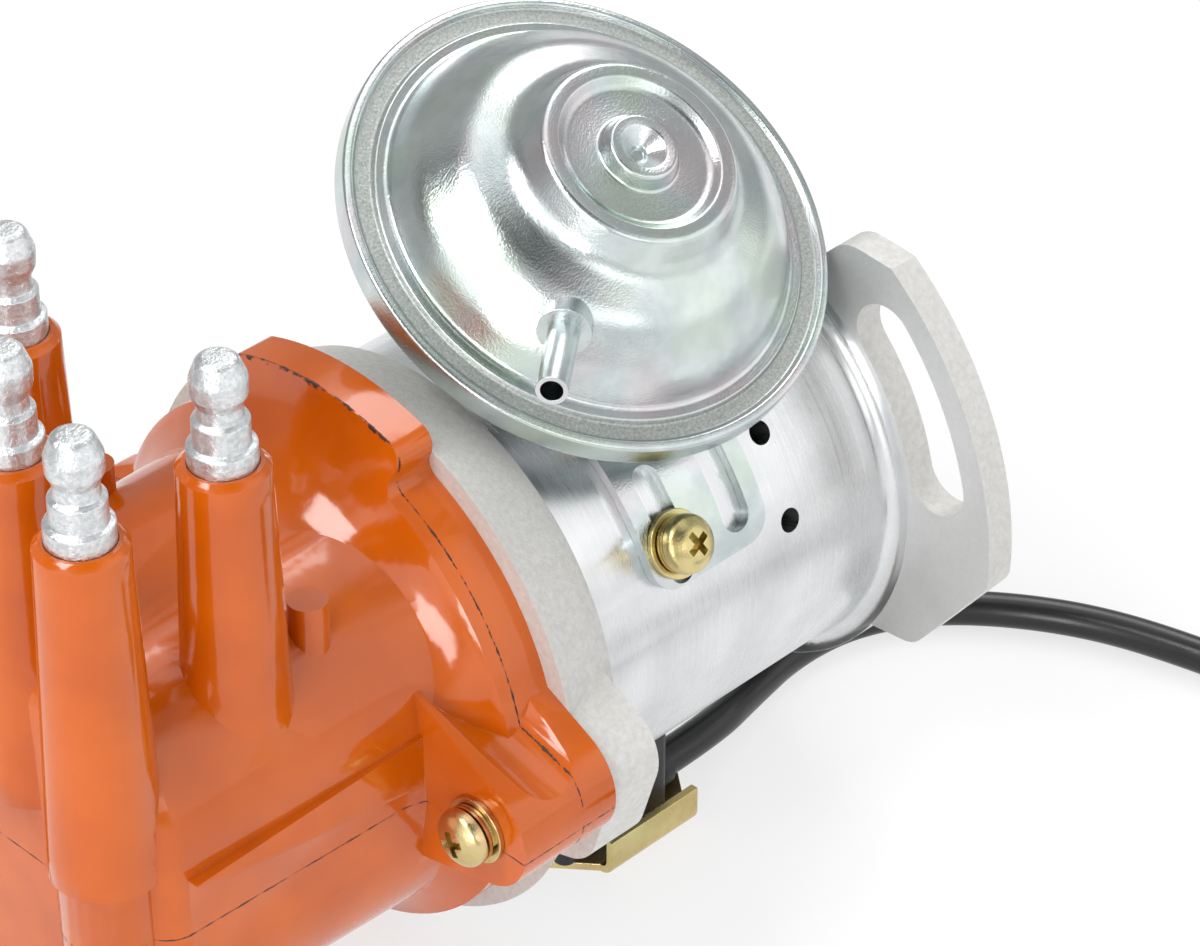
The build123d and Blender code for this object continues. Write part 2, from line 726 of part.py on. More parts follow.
with BuildPart() as brush_spring:
    add(ring(BRUSH_R - 0.3, BRUSH_R - 0.8, BRUSH_HOLE_X, brush_back_x - BRUSH_TRAVEL - RUNNING_FIT))

# ---- Cap --------------------------------------------------------------------------------------------------
with BuildSketch() as lobe_outline:
    Circle(LOBE_R)
    with BuildLine():
        reach = 2 * LOBE_R
        spread = math.radians(LOBE_HALF_ANGLE)
        Polyline(
            (0, 0),
            (reach * math.sin(spread), reach * math.cos(spread)),
            (-reach * math.sin(spread), reach * math.cos(spread)),
            close=True,
        )
    make_face(mode=Mode.INTERSECT)
    fillet(lobe_outline.vertices().group_by(Axis.Y)[-1], 2.5)

with BuildSketch() as flange_outline:
    Circle(CAP_FLANGE_R)
    add(lobe_outline.sketch)
    corners = [corner for corner in flange_outline.vertices() if corner.Y > 0]
    notches = [corner for corner in corners if abs(math.hypot(corner.X, corner.Y) - CAP_FLANGE_R) < SEAT_GAP]
    fillet(notches, LOBE_NOTCH_R)

with BuildPart() as tower:
    with BuildSketch(Plane.XZ):
        with BuildLine():
            Polyline(
                (0, TOWER_FOOT_Z),
                (TOWER_FOOT_R, TOWER_FOOT_Z),
                (TOWER_TOP_R + TOWER_EDGE * TOWER_LEAN, TOWER_TOP_Z - TOWER_EDGE),
                (TOWER_TOP_R - TOWER_EDGE, TOWER_TOP_Z),
                (0, TOWER_TOP_Z),
                close=True,
            )
        make_face()
    revolve(axis=Axis.Z)

# Joint flange with its raised lobe at the top; its front sweeps into the drum as one hollow curve
with BuildPart() as cap_flange:
    with BuildSketch(across(FLARE_X)):
        add(flange_outline.sketch)
    extrude(amount=JOINT_X - FLARE_X)
    with BuildSketch(Plane.XZ):
        with BuildLine():
            rim = (FLARE_X + FLARE_R, DRUM_HALF - FLARE_SINK + FLARE_R)
            RadiusArc((FLARE_X, DRUM_HALF - FLARE_SINK), rim, -FLARE_R)
            Polyline(rim, (JOINT_X, rim[1]), (JOINT_X, 0), (FLARE_X, 0), (FLARE_X, DRUM_HALF - FLARE_SINK))
        make_face()
    revolve(axis=Axis.X, mode=Mode.INTERSECT)

with BuildPart() as distributor_cap:
    # Screw ears: a round boss carried by a web that rises to a sharp corner, dished behind its front edge
    for side in (-1, 1):
        with BuildSketch(across(CAP_EAR_X)):
            with Locations((side * SCREW_SPREAD, 0)):
                Circle(CAP_EAR_R)
            with Locations((side * EAR_WEB_Y, EAR_WEB_Z)):
                Circle(2.0)
            with Locations((side * 22, -8)):
                Circle(4)
            make_hull()
        extrude(amount=JOINT_X - CAP_EAR_X)
        dish_axis = Vector(0, side * math.cos(EAR_DISH_FALL), -math.sin(EAR_DISH_FALL))
        dish_foot = Vector(EAR_DISH_X, side * EAR_WEB_Y, EAR_WEB_Z + 2 + EAR_DISH_R - EAR_DISH_DEPTH)
        dish = Plane(origin=dish_foot - dish_axis * 8, x_dir=(1, 0, 0), z_dir=dish_axis)
        add(bar(dish, EAR_DISH_R, 40), mode=Mode.SUBTRACT)
    add(cap_flange.part)
    # Lip that centres the cap in the bowl
    add(ring(CAP_SEAT_R - LOOSE_FIT, CAP_MOUTH_R, JOINT_X, JOINT_X + CAP_SEAT_DEPTH - LOOSE_FIT))
    # Drum
    with BuildSketch(facing_cap(CAP_FACE_X)):
        RectangleRounded(2 * DRUM_HALF, 2 * DRUM_HALF, DRUM_CORNER_R)
    extrude(amount=CAP_FACE_X - DRUM_FRONT_X, taper=DRUM_TAPER)
    fillet(distributor_cap.faces().sort_by(Axis.X)[0].edges(), DRUM_EDGE_R)
    # Towers, the columns under the front pair, and the two pegs
    with Locations(*[(x, y, 0) for x, y in TOWERS]):
        add(tower.part)
    with BuildSketch(Plane.XY.offset(COLUMN_BOTTOM_Z)):
        with Locations((FRONT_TOWER_X, -TOWER_SIDE), (FRONT_TOWER_X, TOWER_SIDE)):
            Circle(COLUMN_R)
    extrude(amount=TOWER_FOOT_Z - COLUMN_BOTTOM_Z)
    with BuildSketch(Plane.XY.offset(PEG_TOP_Z - 8)):
        with Locations((PEG_X, -PEG_SIDE), (PEG_X, PEG_SIDE)):
            Circle(PEG_R)
    extrude(amount=8)
    # Straight rib along each side, and the sunk panel under it
    for side in (-1, 1):
        rib_side = Plane(origin=(0, side * (RIB_HALF - 8), 0), x_dir=(1, 0, 0), z_dir=(0, side, 0))
        with BuildSketch(rib_side):
            with BuildLine():
                Polyline(*[(x, -side * z) for x, z in RIB_OUTLINE], close=True)
            make_face()
        extrude(amount=8)
    # Inside: mouth, cavity and the brush's boss
    add(
        turned(
            [
                (JOINT_X + CAP_SEAT_DEPTH, 0),
                (JOINT_X + CAP_SEAT_DEPTH, CAP_MOUTH_R),
                (JOINT_X - CAP_MOUTH_DEPTH, CAP_MOUTH_R),
                (JOINT_X - CAP_MOUTH_DEPTH - 4, CAP_CAVITY_R),
                (CAVITY_END_X, CAP_CAVITY_R),
                (CAVITY_END_X, BRUSH_BOSS_R),
                (BRUSH_BOSS_X, BRUSH_BOSS_R),
                (BRUSH_BOSS_X, 0),
            ]
        ),
        mode=Mode.SUBTRACT,
    )
    add(rod_between(BRUSH_R + RUNNING_FIT, BRUSH_HOLE_X, BRUSH_BOSS_X), mode=Mode.SUBTRACT)
    add(tower_terminals.part, mode=Mode.SUBTRACT)
    add(cap_electrodes.part, mode=Mode.SUBTRACT)
    for side in (-1, 1):
        add(rod_between(M4_CLEAR_R, CAP_EAR_X, JOINT_X, side * SCREW_SPREAD, 0), mode=Mode.SUBTRACT)

# ---- Cap screws -------------------------------------------------------------------------------------------
ear_seats = [
    Plane(origin=(CAP_EAR_X, side * SCREW_SPREAD, 0), x_dir=(0, -1, 0), z_dir=(-1, 0, 0)) for side in (-1, 1)
]

with BuildPart() as cap_screw_washers:
    for seat in ear_seats:
        add(washer(seat, WASHER_R, M4_CLEAR_R, WASHER_T))

with BuildPart() as cap_screw_spring_washers:
    for seat in ear_seats:
        add(split_washer(seat.offset(WASHER_T), SPRING_WASHER_R, M4_CLEAR_R, SPRING_WASHER_T))

with BuildPart() as cap_screws:
    for seat in ear_seats:
        head_seat = seat.offset(WASHER_T + SPRING_WASHER_T)
        stack = WASHER_T + SPRING_WASHER_T + JOINT_X - CAP_EAR_X
        add(pan_screw(head_seat, M4_R, stack + BOWL_EAR_T - 1, HEAD_R, HEAD_H))

# ---- Shaft and centrifugal advance ------------------------------------------------------------------------
with BuildPart() as drive_shaft:
    add(
        turned(
            [
                (SHAFT_END_X, 0),
                (SHAFT_END_X, SHAFT_R),
                (SHAFT_STEP_X, SHAFT_R),
                (SHAFT_STEP_X, SHAFT_TOP_R),
                (SHAFT_TOP_X, SHAFT_TOP_R),
                (SHAFT_TOP_X, 0),
            ]
        )
    )
    dog_x = SPIGOT_LENGTH + DOG_GAP
    with BuildSketch(Plane.XY.offset(-SHAFT_R - 1)):
        with Locations((dog_x + 0.5 * DOG_HUB_H, 0)):
            Circle(DOG_PIN_R)
    extrude(amount=2 * SHAFT_R + 2, mode=Mode.SUBTRACT)

with BuildPart() as weight_carrier:
    with BuildSketch(across(CARRIER_X)):
        with Locations((0, 0)):
            Circle(0.7 * CARRIER_R)
        with Locations(spin_point(PIVOT_CIRCLE_R, 0), spin_point(PIVOT_CIRCLE_R, 180)):
            Circle(CARRIER_R - PIVOT_CIRCLE_R)
        make_hull()
        Circle(SHAFT_R, mode=Mode.SUBTRACT)
        with Locations(spin_point(PIVOT_CIRCLE_R, 0), spin_point(PIVOT_CIRCLE_R, 180)):
            Circle(PIVOT_R, mode=Mode.SUBTRACT)
    extrude(amount=-CARRIER_T)
    add(ring(CARRIER_HUB_R, SHAFT_R, CARRIER_X - CARRIER_T - CARRIER_HUB_H, CARRIER_X - CARRIER_T))

with BuildPart() as weight_pivots:
    for angle in (0, 180):
        pivot_y, pivot_z = spin_point(PIVOT_CIRCLE_R, angle)
        add(rod_between(PIVOT_R, SPRING_END_X, CARRIER_X, pivot_y, pivot_z))


def fly_weight(turn: float) -> Part:
    """A bob weight: a curved bar with its pivot hole at one end and the peg that moves the cam plate."""
    with BuildPart() as weight:
        with BuildSketch(across(WEIGHT_X)):
            with BuildLine():
                CenterArc((0, 0), 0.5 * (WEIGHT_INNER_R + WEIGHT_OUTER_R), turn + WEIGHT_FROM, WEIGHT_SWEEP)
            trace(line_width=WEIGHT_OUTER_R - WEIGHT_INNER_R)
            with Locations(spin_point(PIVOT_CIRCLE_R, turn)):
                Circle(PIVOT_R + RUNNING_FIT, mode=Mode.SUBTRACT)
        extrude(amount=-WEIGHT_T)
        tips = weight.edges().filter_by(Axis.X).group_by(SortBy.LENGTH)[-1]
        fillet(tips.sort_by(SortBy.DISTANCE)[-2:], 2.0)
        peg_y, peg_z = spin_point(PEG_CIRCLE_R, turn + PEG_ANGLE)
        add(rod_between(WEIGHT_PEG_R, CAM_PLATE_X - CAM_PLATE_T - PEG_TIP, WEIGHT_X - WEIGHT_T, peg_y, peg_z))
    return weight.part


with BuildPart() as weight_a:
    add(fly_weight(0))

with BuildPart() as weight_b:
    add(fly_weight(180))

with BuildPart() as advance_cam_plate:
    with BuildSketch(across(CAM_PLATE_X)):
        Circle(CAM_PLATE_MIDDLE_R)
        for turn in (0, 180):
            with Locations(spin_point(PEG_CIRCLE_R + 0.6 * PEG_DRIFT, turn + PEG_ANGLE)):
                Circle(CAM_PLATE_EAR_R)
            with Locations(spin_point(SPRING_POST_R, turn + SPRING_POST_ANGLE)):
                Circle(CAM_PLATE_EAR_R - 1)
        make_hull()
        Circle(SLEEVE_R, mode=Mode.SUBTRACT)
        for turn in (0, 180):
            with Locations(spin_point(PEG_CIRCLE_R + 0.5 * PEG_DRIFT, turn + PEG_ANGLE)):
                SlotCenterToCenter(
                    PEG_DRIFT, 2 * (WEIGHT_PEG_R + LOOSE_FIT), rotation=PEG_ANGLE, mode=Mode.SUBTRACT
                )
    extrude(amount=-CAM_PLATE_T)
    for turn in (0, 180):
        post_y, post_z = spin_point(SPRING_POST_R, turn + SPRING_POST_ANGLE)
        add(rod_between(SPRING_POST_PIN_R, SPRING_END_X, CAM_PLATE_X - CAM_PLATE_T, post_y, post_z))

with BuildPart() as advance_springs:
    for turn in (0, 180):
        pivot = spin_point(PIVOT_CIRCLE_R, turn)
        post = spin_point(SPRING_POST_R, turn + SPRING_POST_ANGLE)
        reach = math.dist(pivot, post)
        along = (0, (post[0] - pivot[0]) / reach, (post[1] - pivot[1]) / reach)
        start = PIVOT_R + LOOSE_FIT
        foot = Plane(
            origin=(SPRING_END_X + SPRING_R, pivot[0] + start * along[1], pivot[1] + start * along[2]),
            x_dir=(1, 0, 0),
            z_dir=along,
        )
        with BuildSketch(foot):
            Circle(SPRING_R)
            Circle(SPRING_R - SPRING_WIRE, mode=Mode.SUBTRACT)
        extrude(amount=reach - start - SPRING_POST_PIN_R - LOOSE_FIT)

with BuildPart() as advance_sleeve:
    add(ring(SLEEVE_R, SHAFT_TOP_R + RUNNING_FIT, SLEEVE_END_X, CAM_PLATE_X))

# ---- Drive dog --------------------------------------------------------------------------------------------
dog_face_x = dog_x + DOG_HUB_H

with BuildPart() as drive_coupling:
    add(ring(DOG_R, SHAFT_R, dog_x, dog_face_x))
    with BuildSketch(across(dog_face_x)):
        Circle(DOG_R)
        with Locations((DOG_OFFSET, 0)):
            Rectangle(DOG_TONGUE_W, 2 * DOG_R, mode=Mode.INTERSECT)
    extrude(amount=DOG_TONGUE_H)
    chamfer(drive_coupling.faces().sort_by(Axis.X)[-1].edges(), 0.6)
    clip_x = dog_x + 0.5 * (DOG_HUB_H - DOG_CLIP_WIDTH)
    add(ring(DOG_R + 1, DOG_R - DOG_CLIP_T, clip_x, clip_x + DOG_CLIP_WIDTH), mode=Mode.SUBTRACT)
    with BuildSketch(Plane.XY.offset(-DOG_R)):
        with Locations((dog_x + 0.5 * DOG_HUB_H, 0)):
            Circle(DOG_PIN_R)
    extrude(amount=2 * DOG_R, mode=Mode.SUBTRACT)

with BuildPart() as coupling_pin:
    with BuildSketch(Plane.XY.offset(DOG_CLIP_T - DOG_R)):
        with Locations((dog_x + 0.5 * DOG_HUB_H, 0)):
            Circle(DOG_PIN_R)
    extrude(amount=2 * (DOG_R - DOG_CLIP_T))
    add(ring(DOG_R, DOG_R - DOG_CLIP_T - SEAT_GAP, clip_x, clip_x + DOG_CLIP_WIDTH), mode=Mode.SUBTRACT)

with BuildPart() as coupling_clip:
    with BuildSketch(across(clip_x)):
        Circle(DOG_R)
        Circle(DOG_R - DOG_CLIP_T, mode=Mode.SUBTRACT)
        with Locations((DOG_R, 0)):
            Rectangle(4, DOG_CLIP_OPENING, mode=Mode.SUBTRACT)
    extrude(amount=DOG_CLIP_WIDTH)

# ---- Base plate and pickup --------------------------------------------------------------------------------
ARM_PIN_TURN = CAN_LEAN  # where the pickup's arm pin sits at rest, counted about +X from +Y
RETAINER_X = PICKUP_X - 0.5 * PLATE_GAP - RETAINER_T

with BuildPart() as base_plate:
    with BuildSketch(across(BASE_PLATE_X)):
        Circle(INNER_R - SEAT_GAP - 0.5 * LOOSE_FIT)
        Circle(COLLAR_R - COLLAR_WALL, mode=Mode.SUBTRACT)
        with BuildLine():
            CenterArc((0, 0), ARM_R, ARM_PIN_TURN, VACUUM_RANGE)
        trace(line_width=2 * (ARM_PIN_R + 2 * LOOSE_FIT), mode=Mode.SUBTRACT)
        with Locations(spin_point(ARM_R, ARM_PIN_TURN), spin_point(ARM_R, ARM_PIN_TURN + VACUUM_RANGE)):
            Circle(ARM_PIN_R + 2 * LOOSE_FIT, mode=Mode.SUBTRACT)
        with Locations(*[clock(BASE_SCREW_CIRCLE_R, angle) for angle in BASE_SCREW_ANGLES]):
            Circle(BASE_SCREW_R + 0.5 * LOOSE_FIT, mode=Mode.SUBTRACT)
    extrude(amount=BASE_PLATE_T)
    add(ring(COLLAR_R, COLLAR_R - COLLAR_WALL, RETAINER_X - 0.4, BASE_PLATE_X))

with BuildPart() as base_plate_screws:
    for angle in BASE_SCREW_ANGLES:
        seat_y, seat_z = clock(BASE_SCREW_CIRCLE_R, angle)
        seat = Plane(origin=(BASE_PLATE_X, seat_y, seat_z), x_dir=(0, -1, 0), z_dir=(-1, 0, 0))
        add(pan_screw(seat, BASE_SCREW_R, BASE_PLATE_T + 4.5, BASE_SCREW_HEAD_R, 1.6))

with BuildPart() as pickup_plate:
    with BuildSketch(across(PICKUP_X)):
        Circle(PICKUP_R)
        with Locations(spin_point(ARM_R, ARM_PIN_TURN)):
            Circle(EYE_R)
        with BuildLine():
            CenterArc((0, 0), 0.5 * SENSOR_OUTER_R, 180 - SENSOR_ANGLE - SENSOR_LUG_HALF, 2 * SENSOR_LUG_HALF)
        trace(line_width=SENSOR_OUTER_R)
        Circle(COLLAR_R + RUNNING_FIT, mode=Mode.SUBTRACT)
        with Locations(*[clock(RIVET_CIRCLE_R, SENSOR_ANGLE + side * RIVET_ANGLE) for side in (-1, 1)]):
            Circle(RIVET_R, mode=Mode.SUBTRACT)
    extrude(amount=PICKUP_T)
    pin_y, pin_z = spin_point(ARM_R, ARM_PIN_TURN)
    add(rod_between(ARM_PIN_R, PICKUP_X + PICKUP_T, CAN_X + ROD_T, pin_y, pin_z))

with BuildPart() as pickup_retainer:
    add(ring(RETAINER_R, COLLAR_R, RETAINER_X, RETAINER_X + RETAINER_T))

with BuildPart() as hall_sensor:
    with BuildSketch(across(SENSOR_TOP_X)):
        with BuildLine():
            CenterArc(
                (0, 0), 0.5 * (SENSOR_INNER_R + SENSOR_OUTER_R), 180 - SENSOR_ANGLE - SENSOR_HALF, 2 * SENSOR_HALF
            )
        trace(line_width=SENSOR_OUTER_R - SENSOR_INNER_R)
    extrude(amount=PICKUP_X - SENSOR_TOP_X)
    fillet(hall_sensor.edges().filter_by(Axis.X), 1.2)
    vane_gap_in = VANE_R - VANE_SKIRT - SENSOR_SLOT
    add(ring(VANE_R + SENSOR_SLOT, vane_gap_in, SENSOR_TOP_X, VANE_END_X + SENSOR_SLOT), mode=Mode.SUBTRACT)
    for side in (-1, 1):
        rivet_y, rivet_z = clock(RIVET_CIRCLE_R, SENSOR_ANGLE + side * RIVET_ANGLE)
        add(rod_between(RIVET_R, PICKUP_X - 2.2, PICKUP_X, rivet_y, rivet_z), mode=Mode.SUBTRACT)

with BuildPart() as sensor_rivets:
    for side in (-1, 1):
        rivet_y, rivet_z = clock(RIVET_CIRCLE_R, SENSOR_ANGLE + side * RIVET_ANGLE)
        add(rod_between(RIVET_R, PICKUP_X - 2, PICKUP_X + PICKUP_T, rivet_y, rivet_z))

with BuildPart() as trigger_vane:
    add(ring(VANE_R, SLEEVE_R, VANE_DISC_X, VANE_DISC_X + VANE_T))
    add(ring(VANE_R, VANE_R - VANE_SKIRT, VANE_DISC_X + VANE_T, VANE_END_X))
    add(ring(SLEEVE_R + 2.3, SLEEVE_R, VANE_DISC_X + VANE_T, VANE_DISC_X + VANE_T + 5))
    window = 360 / VANE_WINDOWS
    with BuildSketch(across(VANE_DISC_X + VANE_T)):
        for number in range(VANE_WINDOWS):
            with BuildLine():
                CenterArc((0, 0), VANE_R - 0.5 * VANE_SKIRT, number * window, VANE_WINDOW_ANGLE)
            trace(line_width=2 * VANE_SKIRT)
    extrude(amount=VANE_END_X - VANE_DISC_X, mode=Mode.SUBTRACT)

with BuildPart() as dust_cover:
    add(ring(INNER_R - 0.5 * LOOSE_FIT, ROTOR_HUB_R + COVER_GAP, COVER_X, COVER_X + COVER_T))
    add(ring(INNER_R - 0.5 * LOOSE_FIT, INNER_R - 1.4, COVER_X + COVER_T, COVER_X + COVER_T + 4))

# ---- Rotor arm --------------------------------------------------------------------------------------------
with BuildPart() as rotor_arm:
    add(ring(ROTOR_HUB_R, SLEEVE_R, ROTOR_FACE_X + 5, ROTOR_FOOT_X))
    with BuildSketch(facing_cap(ROTOR_FACE_X + 5)):
        Circle(ROTOR_HUB_R)
        with Locations((0, ROTOR_TIP_R - 5)):
            Circle(3.6)
        make_hull()
        with Locations((0, -ROTOR_HUB_R - 2)):
            RectangleRounded(11, 6, 2)
    extrude(amount=5)

with BuildPart() as rotor_contact:
    with BuildSketch(facing_cap(ROTOR_FACE_X)):
        Circle(0.75 * CONTACT_WIDTH)
        with Locations((0, 0.5 * ROTOR_TIP_R)):
            Rectangle(CONTACT_WIDTH, ROTOR_TIP_R)
        Circle(ROTOR_TIP_R, mode=Mode.INTERSECT)
    extrude(amount=CONTACT_T)

# ---- Vacuum can -------------------------------------------------------------------------------------------
can_origin = can_level(0).origin
can_line = Axis(can_origin, CAN_AXIS)
can_section = Plane(origin=can_origin, x_dir=(1, 0, 0), z_dir=tuple(-part for part in CAN_SIDE))

dome_top = [(radius, RIM_H + rise) for radius, rise in DOME_CROWN]
dome_top += [
    (DOME_FOOT_R, RIM_H + RIDGE_H),
    (DOME_FOOT_R + RIDGE_WIDTH, RIM_H + RIDGE_H),
    (DOME_FOOT_R + RIDGE_WIDTH + 0.5 * RIDGE_H, RIM_H),
    (CAN_R - BEAD_WIDTH - 0.5 * BEAD_H, RIM_H),
    (CAN_R - BEAD_WIDTH, RIM_H + BEAD_H),
    (CAN_R - 0.5 * BEAD_H, RIM_H + BEAD_H),
    (CAN_R, RIM_H),
]

with BuildPart() as vacuum_dome:
    with BuildSketch(can_section):
        with BuildLine():
            Polyline(*dome_top)
            Polyline(
                dome_top[-1],
                (CAN_R, RIM_H - RIM_HEM),
                (CAN_R - RIM_LIP, RIM_H - RIM_HEM),
                (CAN_R - RIM_LIP, PAN_RIM_H),
                (CAN_R - SHEET, PAN_RIM_H),
                (CAN_R - SHEET, RIM_H - SHEET),
                (DOME_FOOT_R - SHEET, RIM_H - SHEET),
                *[(radius, RIM_H + rise) for radius, rise in DOME_UNDERSIDE],
                dome_top[0],
            )
        make_face()
    revolve(axis=can_line)

with BuildPart() as vacuum_pan:
    with BuildSketch(can_section):
        add(
            sheet_outline(
                [
                    (CAN_R - SHEET - SEAT_GAP, PAN_RIM_H),
                    (PAN_RISE_R, PAN_RIM_H),
                    (PAN_FLOOR_R, PAN_FLOOR_H),
                    (PAN_NECK_R, PAN_FLOOR_H),
                ],
                [],
                SHEET,
            )
        )
    revolve(axis=can_line)

with BuildPart() as diaphragm:
    rim_top = RIM_H - SHEET
    with BuildSketch(can_section):
        with BuildLine():
            Polyline(
                (CAN_R - SHEET - SEAT_GAP, rim_top),
                (PAN_RISE_R - 1, rim_top),
                (CAN_PLATE_R + 5, DIAPHRAGM_H + 3.2),
                (CAN_PLATE_R + LOOSE_FIT, DIAPHRAGM_H + DIAPHRAGM_T),
                (CAN_PLATE_R + LOOSE_FIT, DIAPHRAGM_H),
                (CAN_PLATE_R + 5, DIAPHRAGM_H + 2.4),
                (PAN_RISE_R - 0.6, rim_top - DIAPHRAGM_RIM_T),
                (CAN_R - SHEET - SEAT_GAP, rim_top - DIAPHRAGM_RIM_T),
                close=True,
            )
        make_face()
    revolve(axis=can_line)

with BuildPart() as diaphragm_plates:
    add(bar(can_level(DIAPHRAGM_H - CAN_PLATE_T), CAN_PLATE_R - 2, CAN_PLATE_T))
    add(bar(can_level(DIAPHRAGM_H), CAN_PLATE_R, DIAPHRAGM_T + CAN_PLATE_T))
    add(bar(can_level(DIAPHRAGM_H + DIAPHRAGM_T + CAN_PLATE_T), VACUUM_SPRING_R - 1.6, 1.2))

with BuildPart() as vacuum_spring:
    spring_seat = DIAPHRAGM_H + DIAPHRAGM_T + CAN_PLATE_T
    with BuildSketch(can_level(spring_seat + VACUUM_TRAVEL)):
        Circle(VACUUM_SPRING_R)
        Circle(VACUUM_SPRING_R - 1.2, mode=Mode.SUBTRACT)
    extrude(amount=DOME_INSIDE_H - spring_seat - VACUUM_TRAVEL)

with BuildPart() as pull_rod:
    rod_side = Plane(origin=(CAN_X - 0.5 * ROD_T, can_origin.Y, can_origin.Z), x_dir=CAN_SIDE, z_dir=(1, 0, 0))
    rod_top = DIAPHRAGM_H - CAN_PLATE_T
    with BuildSketch(rod_side):
        with Locations((0, 0.5 * rod_top)):
            Rectangle(ROD_WIDTH, rod_top)
        Circle(EYE_R)
        SlotOverall(2 * (ARM_PIN_R + 2 * LOOSE_FIT), 2 * (ARM_PIN_R + RUNNING_FIT), mode=Mode.SUBTRACT)
    extrude(amount=ROD_T)

nipple_azimuth = math.radians(NIPPLE_AZIMUTH)
nipple_rise = math.radians(NIPPLE_RISE)
nipple_root = can_level(NIPPLE_ROOT_H).from_local_coords(
    (NIPPLE_ROOT_R * math.cos(nipple_azimuth), NIPPLE_ROOT_R * math.sin(nipple_azimuth), 0)
)
nipple_axis = (
    can_level(0).x_dir * math.cos(nipple_azimuth) * math.cos(nipple_rise)
    + can_level(0).y_dir * math.sin(nipple_azimuth) * math.cos(nipple_rise)
    + can_level(0).z_dir * math.sin(nipple_rise)
)
nipple_foot = Plane(origin=nipple_root, x_dir=can_level(0).y_dir.cross(nipple_axis), z_dir=nipple_axis)

with BuildPart() as vacuum_nipple:
    with BuildSketch(nipple_foot.offset(-NIPPLE_SINK)):
        Circle(NIPPLE_FLANGE_R)
    extrude(amount=NIPPLE_SINK + NIPPLE_FLANGE_H)
    with BuildSketch(nipple_foot):
        Circle(NIPPLE_R)
    extrude(amount=NIPPLE_LENGTH)
    with BuildSketch(nipple_foot.offset(-NIPPLE_SINK)):
        Circle(NIPPLE_BORE_R)
    extrude(amount=NIPPLE_SINK + NIPPLE_LENGTH, mode=Mode.SUBTRACT)
    add(vacuum_dome.part, mode=Mode.SUBTRACT)
    # What is left inside the can is not needed
    with BuildSketch(can_section):
        with BuildLine():
            core = [(radius, RIM_H + rise) for radius, rise in DOME_CORE]
            Polyline((0, RIM_H), (DOME_FOOT_R - 0.4, RIM_H), *core, close=True)
        make_face()
    revolve(axis=can_line, mode=Mode.SUBTRACT)

# ---- Bracket of the can -----------------------------------------------------------------------------------
with BuildPart() as vacuum_bracket:
    bracket_width = BRACKET_TO_X - BRACKET_FROM_X
    tangent_angle = 90 - CAN_LEAN
    with BuildSketch(across(BRACKET_FROM_X)):
        with BuildLine():
            middle = 0.5 * (BRACKET_LOW_ANGLE + tangent_angle)
            low_in, turn_in = clock(BARREL_R + SEAT_GAP, BRACKET_LOW_ANGLE), clock(BARREL_R + SEAT_GAP, tangent_angle)
            outer_r = BARREL_R + BRACKET_T
            low_out, turn_out = clock(outer_r, BRACKET_LOW_ANGLE), clock(outer_r, tangent_angle)
            end_in = (turn_in[0] + ARM_R * CAN_SIDE[1], turn_in[1] + ARM_R * CAN_SIDE[2])
            end_out = (turn_out[0] + ARM_R * CAN_SIDE[1], turn_out[1] + ARM_R * CAN_SIDE[2])
            ThreePointArc(low_in, clock(BARREL_R + SEAT_GAP, middle), turn_in)
            Polyline(turn_in, end_in, end_out, turn_out)
            ThreePointArc(turn_out, clock(outer_r, middle), low_out)
            Line(low_out, low_in)
        make_face()
    extrude(amount=bracket_width)
    for corner_x in (BRACKET_FROM_X, BRACKET_TO_X):
        corner_y, corner_z = clock(BARREL_R + 0.5 * BRACKET_T, BRACKET_LOW_ANGLE)
        corner_edge = vacuum_bracket.edges().sort_by_distance((corner_x, corner_y, corner_z))[0]
        fillet(corner_edge, BRACKET_CORNER_R)
    add(bar(can_level(BARREL_R + SEAT_GAP), BRACKET_PAD_R, BRACKET_T - SEAT_GAP))
    add(bar(can_level(BARREL_R - 1), PAN_NECK_R, BRACKET_T + 2), mode=Mode.SUBTRACT)
    for slot_x, slot_width, slot_angles in (
        (SLOT_A_X, SLOT_A_WIDTH, SLOT_A_ANGLES),
        (SLOT_B_X, SLOT_B_WIDTH, SLOT_B_ANGLES),
    ):
        with BuildSketch(across(slot_x - 0.5 * slot_width)):
            with BuildLine():
                CenterArc((0, 0), outer_r, 180 - slot_angles[1], slot_angles[1] - slot_angles[0])
            trace(line_width=4 * BRACKET_T)
        extrude(amount=slot_width, mode=Mode.SUBTRACT)
        for angle in slot_angles:
            add(bar(radial(slot_x, angle, BARREL_R - 2), 0.5 * slot_width, BRACKET_T + 4), mode=Mode.SUBTRACT)

bracket_seat = radial(SLOT_A_X, BRACKET_SCREW_ANGLE, BARREL_R + BRACKET_T)

with BuildPart() as bracket_washers:
    add(washer(bracket_seat, WASHER_R, M4_CLEAR_R, WASHER_T))

with BuildPart() as bracket_spring_washers:
    add(split_washer(bracket_seat.offset(WASHER_T), SPRING_WASHER_R, M4_CLEAR_R, SPRING_WASHER_T))

with BuildPart() as bracket_screws:
    add(
        pan_screw(
            bracket_seat.offset(WASHER_T + SPRING_WASHER_T),
            M4_R,
            WASHER_T + SPRING_WASHER_T + BRACKET_T + BARREL_WALL,
            HEAD_R,
            HEAD_H,
        )
    )

# ---- Lead block and its clip ------------------------------------------------------------------------------
clip_screw_spots = ((CLIP_SCREW_X, -CLIP_SCREW_SIDE), (CLIP_SCREW_X, CLIP_SCREW_SIDE))

